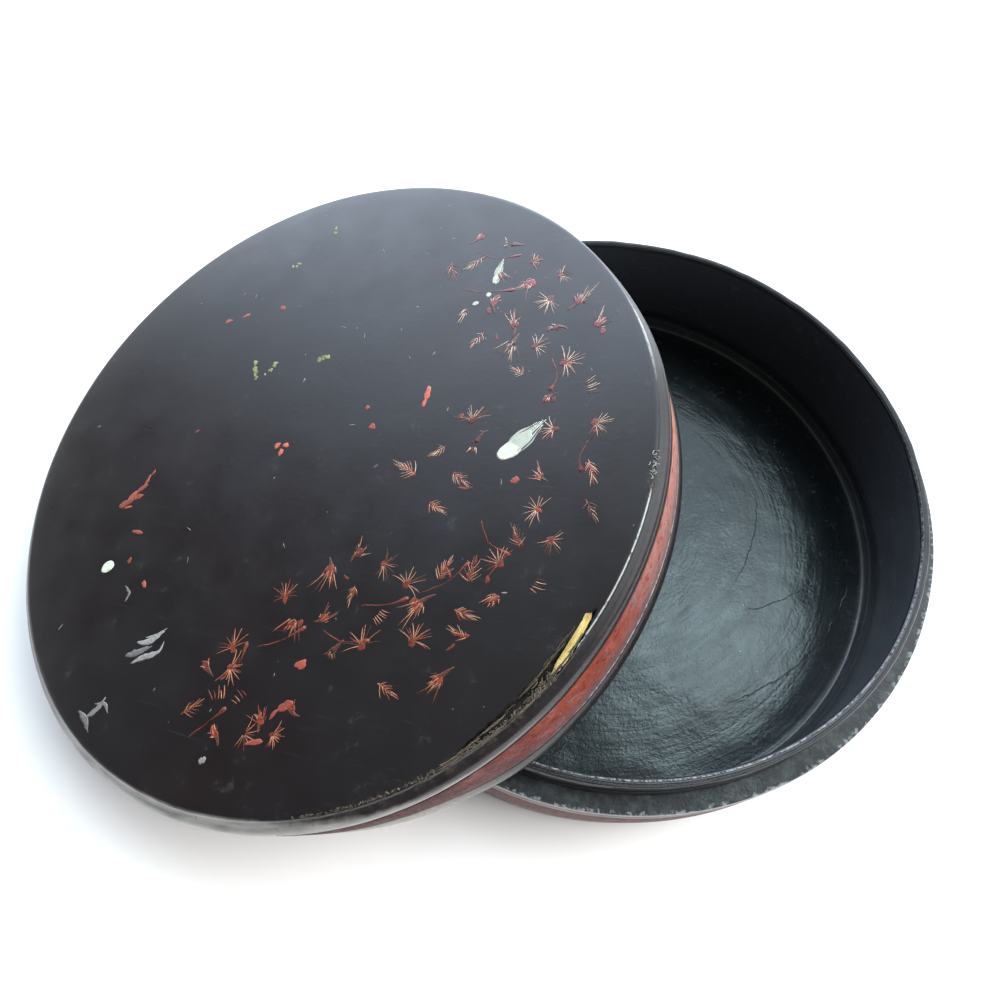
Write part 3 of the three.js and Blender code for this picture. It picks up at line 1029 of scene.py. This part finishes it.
def round_parts(add, place):
    """Radius from the axis, height along it and the place with its height left out."""
    flat = add("VectorMath", place, (1, 1, 0), **TIMES)
    radius = add("VectorMath", flat, operation="LENGTH")
    return {"round": flat, "radius": radius, "height": add("SeparateXYZ", place, out="Z")}


def ring_patches(add, parts, across, around, detail):
    """Noise drawn out round the axis: patches across millimetres wide, repeated around times a turn."""
    along = add("VectorMath", parts["round"], operation="NORMALIZE")
    pulled = add("VectorMath", along, (around, around, 0), **TIMES)
    total = add("Math", parts["radius"], parts["height"], **PLUS)
    up = add("Math", total, across, operation="DIVIDE")
    joined = add("CombineXYZ", add("SeparateXYZ", pulled), add("SeparateXYZ", pulled, out="Y"), up)
    return add("TexNoise", joined, 1.0, detail)


def turn_round(add, flat):
    """The angle of a level place in radians, from minus to plus half a turn."""
    return add("Math", add("SeparateXYZ", flat, out="Y"), add("SeparateXYZ", flat), operation="ARCTAN2")


def degrees_round(add, parts):
    """The angle round the axis in degrees."""
    return add("Math", turn_round(add, parts["round"]), 180 / math.pi, **TIMES)


def worn_and_reflecting_grey(add, place, height, low, high):
    """How far grey hides the red, more towards the band's lower edge, in grains: rubbed wear, and on the
    lid a painted reflection of the white table as well.
    """
    waver = wavering(add, place, 5, 4, 7.0)
    line = add("MapRange", add("Math", height, waver, **PLUS), low + (high - low) * 0.62, low, **EASED)
    grain = add("MapRange", patches(add, place, 0.9, 3, 0.7), 0.4, 0.6)
    return add("Math", line, add("MapRange", grain, 0, 1, 0.55, 1.0), **TIMES), grain


def mottled(add, place, colour, spots):
    """Lays spots over a colour, each as size, threshold, cover, hex colour."""
    for size, low, cover, tint in spots:
        share = add("MapRange", patches(add, place, size, 4, 0.66), low, low + 0.10, 0.0, cover)
        colour = laid_over(add, colour, (share, tint))
    return colour


def paint_material(name, dark, bright, rough, thin=0.6, cover=0.65, sheen_colours=None):
    """Lacquer paint in one colour: each stroke has its own tone, rubbed thin in places.

    The last argument is a second pair of colours, which the first goes over to between two distances in
    millimetres from the low left to the high right: a painted sheen, paler where the top mirrors the
    bright window.
    """
    material, add = new_material(name, Roughness=rough, IOR=1.5)
    place = place_mm(add, True)
    tone = add("Attribute", attribute_name="tone", out="Fac")
    own = add("Math", tone, 0.7, **TIMES)
    mixed = add(
        "Math", own, add("Math", patches(add, place, 1.6, 4, 0.7), 0.5, **TIMES), **PLUS, use_clamp=True
    )
    colour = laid_over(add, dark, (mixed, bright))
    if sheen_colours:
        along = add("VectorMath", place, (0.5, 0.85, 0), operation="DOT_PRODUCT")
        dull, pale, begun, done = sheen_colours
        colour = laid_over(
            add, colour, (add("MapRange", along, begun, done), laid_over(add, dull, (mixed, pale)))
        )
    worn = add("MapRange", patches(add, place, 0.9, 4, 0.7), thin - 0.06, thin + 0.06, 0.0, cover)
    colour = laid_over(add, colour, (worn, "#1d1616"))
    return finish_material(material, add, colour, None, patches(add, place, 0.7, 2), 0.1)


def black_top(add, place):
    """Colour, roughness and relief of black lacquer rubbed flat, with patches, dust and scuffs."""
    colour = laid_over(
        add, "#170f10", (add("MapRange", patches(add, place, 60, 4), 0.35, 0.65), "#141112")
    )
    haze = patches(add, place, 14, 4, 0.62)
    fine = patches(add, place, 1.6, 2)
    scratch = scratches(add, place, 0.3, 0.32, 3)
    dust = add("Math", specks(add, place, 4.5, 0.35, 4), 0.3, **TIMES)
    scuff = add("MapRange", patches(add, place, 7, 6, 0.72), 0.62, 0.78, 0.0, 0.1)
    pale = add(
        "Math",
        add("Math", dust, scuff, **PLUS),
        add("Math", scratch, 0.06, **TIMES),
        **PLUS,
        use_clamp=True,
    )
    colour = laid_over(add, colour, (pale, "#9a9da0"))
    rough = add("MapRange", haze, 0.3, 0.7, 0.27, 0.38)
    relief = add("Math", add("Math", haze, 1.2, **TIMES), add("Math", fine, 0.35, **TIMES), **PLUS)
    return colour, rough, relief


def lid_top_material():
    """Black lacquer over wood, brushed on in many coats and rubbed flat: dark, softly glossy."""
    material, add = new_material("black_lacquer_rubbed", IOR=1.56)
    place = place_mm(add, True)
    return finish_material(material, add, *black_top(add, place), 0.05)


def lid_edge_material():
    """Black lacquer on the lid's edge and mouldings, with the wood laid bare in a split."""
    material, add = new_material("black_lacquer_worn_edge_painted_highlight", IOR=1.56)
    place = place_mm(add, True)
    parts = round_parts(add, place)
    colour, rough, relief = black_top(add, place)
    mottle = add("MapRange", patches(add, place, 3.0, 5, 0.7), 0.42, 0.62, 0.0, 0.5)
    colour = laid_over(add, colour, (mottle, on_side(add, parts), "#2b2322"))
    # Pale grey on the lowest edge and the shoulder at the low end: rubbed wear and a painted reflection of
    # the white table.
    pale, _ = rim_wear_and_table_reflection(add, place, parts)
    colour = laid_over(add, colour, (pale, "#8c867d"), (shoulder_wear_and_table_reflection(add, place, parts), "#918d88"))
    # The pale line along the top edge: rubbed wear in part and a painted highlight in part.
    line = add("Attribute", attribute_name="edge_wear_and_highlight", out="Fac")
    broken = add("MapRange", patches(add, place, 1.6, 3, 0.6), 0.27, 0.46, 0.15, 1.0)
    worn = add("MapRange", add("Math", line, broken, **TIMES), 0.2, 0.8)
    colour = laid_over(add, colour, (worn, "#adaeab"))
    crust = add("Attribute", attribute_name="crust", out="Fac")
    crumb = patches(add, place, 0.8, 3, 0.7)
    crumbs = laid_over(add, "#1a1410", (add("MapRange", crumb, 0.48, 0.7), "#5d5144"))
    held = add("MapRange", patches(add, place, 1.4, 3, 0.7), 0.36, 0.52)
    crust_on = add("Math", crust, held, **TIMES)
    colour = laid_over(add, colour, (crust_on, crumbs))
    bare = add("Attribute", attribute_name="bare", out="Fac")
    fibre = ring_patches(add, parts, 0.35, 5, 3)
    wood = laid_over(add, "#0e0a07", (add("MapRange", fibre, 0.42, 0.7), "#33281d"))
    colour = laid_over(add, colour, (bare, wood))
    dull = add("Math", add("Math", bare, crust_on, operation="MAXIMUM"), 0.4, **TIMES)
    rough = add("Math", rough, dull, **PLUS, use_clamp=True)
    return finish_material(material, add, colour, rough, relief, 0.05)


def on_side(add, parts):
    """One below the lid's top edge and nought on its top."""
    return add("MapRange", parts["height"], LID_HEIGHT - 2.0, LID_HEIGHT - 3.2)


def rim_wear_and_table_reflection(add, place, parts):
    """Pale grey round the lid's lowest edge, rubbed wear and a painted reflection of the white table
    together: from 50 degrees on it climbs the side towards the low end.

    Gives the pale share, and the height in millimetres above its wavering border.
    """
    turn = degrees_round(add, parts)
    away = add("MapRange", turn, -50, -90)
    climb = add("Math", add("Math", away, 2.2, operation="POWER"), 9.0, **TIMES)
    waver = wavering(add, place, 4, 3, 1.6)
    above = add("Math", parts["height"], add("Math", climb, waver, 9.3, **PLUS), **LESS)
    begun = add("MapRange", turn, -60, -78, **EASED)
    ended = add("MapRange", turn, -150, -110, **EASED)
    clear = add("MapRange", above, -0.2, -0.8)
    top = add("MapRange", parts["height"], LID_HEIGHT - 3.0, LID_HEIGHT - 6.0)
    grains = add("MapRange", patches(add, place, 1.6, 4, 0.7), 0.34, 0.56, 0.55, 1.0)
    share = add("Math", begun, ended, clear, grains, **TIMES)
    return add("Math", share, top, **TIMES), above


def shoulder_wear_and_table_reflection(add, place, parts):
    """Pale grey on the shoulder, rubbed wear and a painted reflection of the white table together: a line
    over the band that widens at the low end.
    """
    turn = degrees_round(add, parts)
    begun = add("MapRange", turn, -46, -74, **EASED)
    ended = add("MapRange", turn, -150, -122, **EASED)
    waver = wavering(add, place, 5, 3, 1.6)
    border = add("Math", waver, add("MapRange", turn, -66, -99, 33.6, 37.2), **PLUS)
    below = add("MapRange", add("Math", parts["height"], border, **LESS), 0.5, -0.5)
    above = add("MapRange", parts["height"], LID_BAND[1] + 0.2, LID_BAND[1] + 0.8)
    grains = add("MapRange", ring_patches(add, parts, 0.7, 9, 4), 0.3, 0.6, 0.35, 1.0)
    where = add("Math", begun, ended, below, above, **TIMES)
    outside = add("MapRange", parts["radius"], TOP_EDGE - 0.9, TOP_EDGE - 0.1)
    return add("Math", where, grains, outside, **TIMES)


def lid_band_material():
    """Red lacquer band worn by hands.

    It is maroon at the low end, salmon at the raised end and greyed along its foot. The darkening at the
    low end, where the band turns down towards the table, is painted shade, and the grey foot is rubbed
    wear and a painted reflection of the table.
    """
    material, add = new_material("red_lacquer_band_rubbed_painted_shade", IOR=1.45, Specular_IOR_Level=0.08)
    place = place_mm(add, True)
    parts = round_parts(add, place)
    low, high = LID_BAND
    waver = wavering(add, place, 9, 3, 24)
    plain = degrees_round(add, parts)
    calm = add("MapRange", add("Math", plain, operation="ABSOLUTE"), 140, 120)
    turn = add("Math", plain, add("Math", waver, calm, **TIMES), **PLUS)
    # Colour by the angle round the lid: the maroon towards the low end, where the band turns down towards
    # the table, is painted shade.
    colour = laid_over(
        add,
        "#451416",
        (add("MapRange", turn, -80, -48, **EASED), "#78382b"),
        (add("MapRange", turn, -42, -22, **EASED), "#996c65"),
        (add("MapRange", turn, -14, -6, **EASED), "#b57a68"),
        (add("MapRange", turn, 12, 50, **EASED), "#6e3028"),
        (add("MapRange", turn, 80, 140, **EASED), "#451416"),
    )
    colour = mottled(add, place, colour, ((7, 0.53, 0.65, "#775d5f"), (4, 0.55, 0.7, "#994629")))
    colour = mottled(add, place, colour, ((3, 0.55, 0.75, "#4c1d1e"), (1.4, 0.57, 0.55, "#776c6d")))
    # Painted shade: darker still at the low end, where the band turns down towards the table; the far side
    # is darkened too.
    behind = add("MapRange", turn, 95, 150, **EASED)
    low_end_shade = add("Math", add("MapRange", turn, -52, -74), behind, operation="MAXIMUM")
    colour = laid_over(add, colour, (low_end_shade, 0.6, "#451416"))
    dark = add(
        "Math",
        add("Math", add("MapRange", turn, -55, -72), behind, operation="MAXIMUM"),
        add("MapRange", patches(add, place, 3.4, 4, 0.7), 0.4, 0.55),
        **TIMES,
    )
    colour = laid_over(add, colour, (dark, 0.75, "#341418"))
    grey, grain = worn_and_reflecting_grey(add, place, parts["height"], low, high)
    rubbed = add(
        "Math",
        add("MapRange", turn, -70, -44, 0.35, 0.95),
        add("MapRange", turn, 120, 20, 0.37, 1.0),
        **TIMES,
    )
    # The grey along the band's foot: rubbed wear and a painted reflection of the white table.
    colour = laid_over(add, colour, (grey, rubbed, "#514b4e"))
    # A whitish beaded line along the band's lower edge: rubbed wear and a painted highlight.
    edge = line_at(add, parts["height"], low + 0.7, 0.9, 0.3)
    beads = add("Math", edge, add("MapRange", patches(add, place, 1.5, 3, 0.7), 0.42, 0.54), **TIMES)
    reach = add(
        "Math",
        add("MapRange", turn, -56, -40, 0.1, 1.0),
        add("MapRange", turn, 10, -16, 0.3, 1.0),
        **TIMES,
    )
    colour = laid_over(add, colour, (beads, reach, "#a7a7a5"))
    # The pale grey climbing from the rim at the low end: rubbed wear and a painted reflection of the white
    # table.
    pale, above = rim_wear_and_table_reflection(add, place, parts)
    rim = add("MapRange", add("Math", above, operation="ABSOLUTE"), 0.9, 0.4, 0.0, 0.9)
    late = add("MapRange", degrees_round(add, parts), -52, -62)
    colour = laid_over(add, colour, (rim, late, "#1c1214"), (pale, "#8c867d"))
    # Painted shadow: a dark line along the band's top edge, under the groove.
    top = add("MapRange", parts["height"], high - 0.7, high - 0.1, 0.0, 0.8)
    colour = laid_over(add, colour, (top, "#241315"))
    rough = add("MapRange", grain, 0, 1, 0.42, 0.6)
    return finish_material(material, add, colour, rough, grain, 0.05)


def plain_inside_material():
    """Black lacquer in one brushed coat on the lid's hidden inside, duller than the outside."""
    material, add = new_material("black_lacquer_brushed", IOR=1.5)
    place = place_mm(add, True)
    parts = round_parts(add, place)
    strokes_round = ring_patches(add, parts, 4.0, 3.5, 4)
    colour = laid_over(
        add, "#131213", (add("MapRange", patches(add, place, 45, 4), 0.35, 0.65), "#181718")
    )
    rough = add("MapRange", strokes_round, 0.3, 0.7, 0.38, 0.52)
    return finish_material(material, add, colour, rough, strokes_round, 0.08)


def arc_crack(add, parts, place, middle, size, span, wide):
    """A hairline crack along part of a circle, wandering a little: one on it and nought off it."""
    wander = wavering(add, place, 6, 3, 3.0)
    off = add("VectorMath", parts["round"], (*middle, 0), **LESS)
    far = add("VectorMath", off, operation="LENGTH")
    line = line_at(add, add("Math", far, wander, **PLUS), size, wide, wide * 0.35)
    turn = turn_round(add, off)
    low, high = (math.radians(a) for a in span)
    held = add(
        "Math",
        add("MapRange", turn, low, low + 0.15),
        add("MapRange", turn, high, high - 0.15),
        **TIMES,
    )
    return add("Math", line, held, **TIMES)


# Cracks in the floor: middle of the circle, its radius and the stretch of it in degrees
FLOOR_CRACKS = (
    ((20, 10), 92, (-78, -28), 0.28),
    ((-12, 22), 84, (-40, -8), 0.20),
    ((46, 30), 74, (-84, -58), 0.20),
)


def box_inside_material():
    """Black lacquer over turned wood: satin, with turned rings, brush marks, grit and cracks."""
    material, add = new_material("black_lacquer_turned_floor", IOR=1.56)
    place = place_mm(add, False)
    parts = round_parts(add, place)
    colour = laid_over(
        add, "#11181a", (add("MapRange", patches(add, place, 50, 4), 0.35, 0.65), "#161f20")
    )
    # Painted light: the inner wall is given a lighter grey than the floor of the same lacquer, for the dim
    # light it catches.
    wall = add("MapRange", parts["height"], FLOOR + 3, FLOOR + 9)
    colour = laid_over(add, colour, (wall, "#3a3e44"))
    rings = ring_patches(add, parts, 1.4, 2.0, 3)
    strokes_round = ring_patches(add, parts, 4.0, 3.5, 4)
    haze = patches(add, place, 9, 4, 0.65)
    rough = add("MapRange", strokes_round, 0.3, 0.7, 0.17, 0.28)
    grain = patches(add, place, 1.3, 3, 0.6)
    relief = add("Math", add("Math", rings, 0.6, **TIMES), add("Math", haze, 1.7, **TIMES), **PLUS)
    relief = add("Math", relief, add("Math", strokes_round, 1.2, **TIMES), **PLUS)
    relief = add("Math", relief, add("Math", grain, 0.9, **TIMES), **PLUS)
    hollows = patches(add, place, 30, 2, 0.5)
    relief = add("Math", relief, add("Math", hollows, 9.0, **TIMES), **PLUS)
    dust = add("Math", specks(add, place, 2.6, 0.45, 7), 0.7, **TIMES)
    scuff = add("MapRange", patches(add, place, 6, 5, 0.72), 0.58, 0.76, 0.0, 0.16)
    colour = laid_over(add, colour, (add("Math", dust, scuff, **PLUS, use_clamp=True), "#8d949a"))
    corner = add("MapRange", parts["radius"], FLOOR_RADIUS - 4, FLOOR_RADIUS - 2)
    lit = add(
        "MapRange",
        add("Math", add("Math", degrees_round(add, parts), 42, **PLUS), operation="ABSOLUTE"),
        12,
        26,
        0.25,
        1.0,
        **EASED,
    )
    corner = add("Math", corner, lit, add("MapRange", parts["height"], FLOOR + 6, FLOOR + 3), **TIMES)
    rough = add("Math", rough, add("Math", corner, 0.25, **TIMES), **PLUS)
    low = add("MapRange", parts["height"], FLOOR + 3, FLOOR + 1)
    for middle, size, span, wide in FLOOR_CRACKS:
        crack = add("Math", arc_crack(add, parts, place, middle, size, span, wide), low, **TIMES)
        colour = laid_over(add, colour, (crack, "#050505"))
        relief = add("Math", relief, add("Math", crack, 2.0, **TIMES), **LESS)
    return finish_material(material, add, colour, rough, relief, 0.1)


def box_outside_material():
    """Black lacquer outside, rubbed grey and stippled on the ledge and lip where the lid sits, with thin
    pale lines on the lip's inner edge and the ledge's outer edge that are wear and painted highlight
    together.
    """
    material, add = new_material("black_lacquer_worn_ledge_painted_highlight", IOR=1.56)
    place = place_mm(add, False)
    parts = round_parts(add, place)
    radius, height = parts["radius"], parts["height"]
    turn = degrees_round(add, parts)
    colour = laid_over(
        add, "#0f1013", (add("MapRange", patches(add, place, 50, 4), 0.35, 0.65), "#131417")
    )
    haze = patches(add, place, 11, 4, 0.65)
    front = add("Math", add("MapRange", turn, 10, -25), add("MapRange", turn, -150, -120), **TIMES)
    on_ledge = add("MapRange", height, BOX_HEIGHT - 1.2, BOX_HEIGHT - 0.5)
    out = add("MapRange", radius, LIP_MIDDLE + 1.6, LIP_MIDDLE + 2.2)
    ledge = add("Math", on_ledge, out, **TIMES)
    mottle = add("MapRange", patches(add, place, 4.5, 6, 0.7), 0.46, 0.66, 0.0, 0.7)
    colour = laid_over(add, colour, (ledge, mottle, "#434b4a"))
    fine = patches(add, place, 1.1, 3, 0.75)
    rim = add("MapRange", radius, LEDGE - 3.2, LEDGE - 0.6, **EASED)
    clumps = add(
        "Math",
        patches(add, place, 2.4, 5, 0.68),
        add("Math", add("Math", rim, 1.0, **LESS), 0.22, **TIMES),
        **PLUS,
    )
    stipple = add("Math", rim, add("MapRange", clumps, 0.5, 0.56), **TIMES)
    stipple = add("Math", stipple, on_ledge, front, **TIMES)
    colour = laid_over(add, colour, (stipple, 0.8, "#8d9596"))
    # A pale line on the ledge's outer edge: rubbed wear and a painted highlight.
    ledge_edge_wear_and_highlight = line_at(add, height, BOX_HEIGHT - 0.8, 1.0, 0.3)
    ledge_edge_wear_and_highlight = add("Math", ledge_edge_wear_and_highlight, add("MapRange", radius, LEDGE - 0.8, LEDGE - 0.4), **TIMES)
    ledge_edge_wear_and_highlight = add("Math", ledge_edge_wear_and_highlight, add("MapRange", turn, -60, -78, 0.25, 1.0), **TIMES)
    colour = laid_over(add, colour, (ledge_edge_wear_and_highlight, 0.75, "#a59a98"))
    # A bright beaded line on the lip's inner edge at the front: a painted highlight where the lip mirrors
    # the window, with some rubbed wear.
    lip = add("MapRange", height, LIP_TOP - 2.6, LIP_TOP - 0.9)
    inner = line_at(add, radius, LIP_MIDDLE - 1.25, 0.3, 0.08)
    beads = add("MapRange", patches(add, place, 1.0, 2, 0.7), 0.42, 0.56)
    lip_highlight_and_wear = add("Math", lip, inner, beads, front, **TIMES)
    colour = laid_over(add, colour, (lip_highlight_and_wear, 0.9, "#a8a8a6"))
    lines = add("Math", add("Math", radius, 2 * math.pi / 0.62, **TIMES), operation="SINE")
    beads_and_lines = add(
        "Math", add("Math", patches(add, place, 0.8, 2, 0.6), 4.0, **TIMES), lines, **PLUS
    )
    beaded = add("Math", lip, beads_and_lines, **TIMES)
    back = add("MapRange", turn, -10, 30, 0.0, 0.3, **EASED)
    rough = add(
        "Math", add("MapRange", haze, 0.3, 0.7, 0.26, 0.4), add("Math", ledge, 0.1, **TIMES), **PLUS
    )
    rough = add("Math", rough, back, **PLUS)
    worn = add("Math", add("Math", ledge, fine, 4.0, **TIMES), beaded, **PLUS)
    return finish_material(material, add, colour, rough, add("Math", haze, worn, **PLUS), 0.06)


def box_band_material():
    """The box's band in dark red lacquer: maroon, brighter where it is rubbed, with black stains."""
    material, add = new_material("dark_red_lacquer_band", IOR=1.45, Specular_IOR_Level=0.28)
    place = place_mm(add, False)
    parts = round_parts(add, place)
    low, high = BOX_BAND
    colour = laid_over(
        add, "#3c1719", (add("MapRange", patches(add, place, 12, 4, 0.6), 0.38, 0.6), "#5f2422")
    )
    colour = mottled(add, place, colour, ((5, 0.56, 0.8, "#8f3430"), (3, 0.57, 0.7, "#241113")))
    colour = mottled(add, place, colour, ((1.6, 0.62, 0.5, "#7d6a68"),))
    grey, grain = worn_and_reflecting_grey(add, place, parts["height"], low, high)
    colour = laid_over(add, colour, (grey, 0.5, "#463a3a"))
    top = add("MapRange", parts["height"], high - 3.5, high - 0.5, 0.0, 0.45, **EASED)
    colour = laid_over(add, colour, (top, "#5a3535"))
    rough = add("MapRange", grain, 0, 1, 0.4, 0.58)
    return finish_material(material, add, colour, rough, grain, 0.05)


def bare_wood_material():
    """Split bamboo, pale straw yellow, with fibres a quarter of a millimetre wide along its length."""
    material, add = new_material("bare_split_bamboo", Roughness=0.62, IOR=1.45)
    grain = add("UVMap", uv_map="grain")
    scaled = add("VectorMath", grain, (0.12, 4.0, 1), **TIMES)
    fibres = add("TexNoise", scaled, 1.0, 5.0)
    colour = laid_over(add, "#a8853a", (add("MapRange", fibres, 0.34, 0.66), "#ebd58c"))
    dirt = add("TexNoise", grain, 0.6, 4.0)
    colour = laid_over(add, colour, (add("MapRange", dirt, 0.56, 0.72, 0.0, 0.6), "#6b4c1e"))
    along = add("SeparateXYZ", grain)
    colour = laid_over(add, colour, (add("MapRange", along, 3.2, 0.6, 0.0, 0.7), "#7a5516"))
    return finish_material(material, add, colour, None, fibres, 0.12)


def table_material():
    """White cloth under soft light: matt and all but even."""
    material, add = new_material("white_table", Roughness=0.9, Specular_IOR_Level=0.1)
    place = place_mm(add, False)
    tone = add("MapRange", patches(add, place, 220, 2), 0.3, 0.7)
    return finish_material(material, add, laid_over(add, "#f8f4f0", (tone, "#fcf9f6")), None, None, 0)


# Scene


def make_camera():
    """The camera at the photograph's place, from its look and up directions."""
    back = -Vector(CAMERA_LOOK).normalized()
    right = Vector(CAMERA_UP).cross(back).normalized()
    up = back.cross(right)
    data = bpy.data.cameras.new("photo_camera")
    data.lens = CAMERA_LENS
    data.sensor_width = 36.0
    data.clip_start = 0.01
    eye = bpy.data.objects.new("photo_camera", data)
    turn = Matrix((right, up, back)).transposed().to_4x4()
    eye.matrix_world = Matrix.Translation(Vector(CAMERA_PLACE) * MM) @ turn
    bpy.context.scene.collection.objects.link(eye)
    bpy.context.scene.camera = eye


def aim(azimuth, height):
    """The direction of a light in degrees, round from the far side towards the left and up."""
    a, h = math.radians(azimuth), math.radians(height)
    return Vector((-math.sin(a) * math.cos(h), math.cos(a) * math.cos(h), math.sin(h)))


def glow(add, direction, azimuth, height, wide, tall, core, power, colour):
    """A soft patch of light on the room's dome, with its middle at azimuth and height.

    It is gone at its reach wide and tall, in degrees, and full to a core share of that.
    """
    middle = aim(azimuth, height)
    side = Vector((math.cos(math.radians(azimuth)), math.sin(math.radians(azimuth)), 0))
    shares = []
    for way, reach in ((side, wide), (side.cross(middle), tall)):
        along = add("VectorMath", direction, way, operation="DOT_PRODUCT")
        share = add("Math", along, math.sin(math.radians(reach)), operation="DIVIDE")
        shares.append(add("Math", share, share, **TIMES))
    out = add("Math", add("Math", *shares, **PLUS), operation="SQRT")
    held = add("MapRange", out, 1.0, core, 0.0, power, **EASED)
    ahead = add("MapRange", add("VectorMath", direction, middle, operation="DOT_PRODUCT"), 0.0, 0.1)
    strength = add("Math", held, ahead, **TIMES)
    return add("VectorMath", linear(colour)[:3], strength, operation="SCALE")


# The room's lights: azimuth, height, reach wide and tall, core, power and colour
GLOWS = (
    (4, 24, 53, 44, 0.52, 4.8, "#d5e4f8"),
    (-30, 14, 28, 30, 0.6, 4.2, "#e4f0f8"),
    (-59, 68.5, 15, 11, 0.20, 7.4, "#d2eef6"),
    (-46, 62, 20, 18, 0.45, 1.9, "#cdeef8"),
    (-98, 44, 34, 26, 0.45, 2.4, "#f2f6fa"),
    (-70, 34, 24, 26, 0.4, 2.2, "#eef4f8"),
    (205, 5, 42, 16, 0.5, 2.8, "#f2f5fa"),
)


def make_world():
    """The room: a bright window behind, a skylight over the right, low light at the right front.

    The rest of it is dim.
    """
    world = bpy.data.worlds.new("room")
    bpy.context.scene.world = world
    world.use_nodes = True
    add = partial(add_node, world.node_tree)
    direction = add("TexCoord", out="Generated")
    up = add("SeparateXYZ", direction, out="Z")
    dome = add("MapRange", up, 0.55, 0.95, 0.16, 0.4, **EASED)
    level = add("MapRange", up, 0.3, 0.08, 0.0, 0.25, **EASED)
    dim = add("Math", dome, level, **PLUS)
    rest = add("VectorMath", linear("#f2f5f8")[:3], dim, operation="SCALE")
    lights = [glow(add, direction, *light) for light in GLOWS]
    total = add("VectorMath", rest, *lights, **PLUS)
    world.node_tree.links.new(total, world.node_tree.nodes["Background"].inputs["Color"])


def make_lamp():
    """A wide soft lamp high at the right, shaded so that the lacquer doesn't mirror it."""
    data = bpy.data.lights.new("soft_lamp", "SUN")
    data.energy = LAMP_POWER
    data.angle = math.radians(LAMP_WIDE)
    lamp = bpy.data.objects.new("soft_lamp", data)
    lamp.rotation_euler = aim(LAMP_AZIMUTH, LAMP_HEIGHT).to_track_quat("Z", "Y").to_euler()
    lamp.visible_glossy = False
    bpy.context.scene.collection.objects.link(lamp)


def make_stage():
    """The white table and the view."""
    points = [(-2500, -2500, 0), (2500, -2500, 0), (2500, 2500, 0), (-2500, 2500, 0)]
    table = put_mesh("table", points, [(0, 1, 2, 3)], smooth=False)
    table.data.materials.append(table_material())
    bpy.context.scene.view_settings.view_transform = "Standard"


def dress(piece, materials, node=None):
    """Gives a piece its materials, hangs it from the root body, and hides the node it takes the place of.
    """
    for material in materials:
        piece.data.materials.append(material)
    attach(piece, "root")
    if node:
        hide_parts(node)


make_camera()
make_world()
make_lamp()
make_stage()
box_materials = (box_outside_material(), box_inside_material(), box_band_material())
dress(make_box(), box_materials, "box")
lid_materials = (lid_edge_material(), lid_top_material(), plain_inside_material(), lid_band_material())
dress(make_lid(), lid_materials, "lid")
dress(make_strip(), (bare_wood_material(),))

# Name, dark and bright tone, roughness, where it is rubbed thin and how far that shows, and the paler pair
# it goes over to towards the high right, a painted sheen
PAINTS = {
    "coral": ("coral_lacquer_paint", "#5c241d", "#cf6a52", 0.40, 0.64),
    "red": ("red_lacquer_paint", "#501c13", "#8d3a21", 0.40, 0.55, 0.75, ("#54272a", "#935257", 10, 85)),
    "gold": ("gold_lacquer_paint", "#84482a", "#c98c60", 0.36, 0.64, 0.6, ("#b08d74", "#f0e0ca", -50, 50)),
    "brown": ("brown_lacquer_paint", "#2c1712", "#6b3a26", 0.40, 0.60, 0.6, ("#352422", "#74564f", 0, 80)),
    "ochre": ("ochre_lacquer_paint", "#5d5e35", "#9a9a64", 0.42),
    "bare": ("pale_ground", "#6d7a7a", "#d6d9c4", 0.50, 0.68, 0.35),
    "torn": ("torn_wood_and_lacquer", "#130f0c", "#75664f", 0.60, 0.62, 0.4),
    "ridge": ("lifted_lacquer", "#3a3a38", "#a9a9a4", 0.45, 0.62, 0.4),
    "smear": ("pale_smear", "#413f3e", "#a09d99", 0.55, 0.60, 0.7),
}
paints = {colour: paint_material(*settings) for colour, settings in PAINTS.items()}
for colour, pieces in make_painting().items():
    for piece in pieces:
        dress(piece, (paints[colour],))
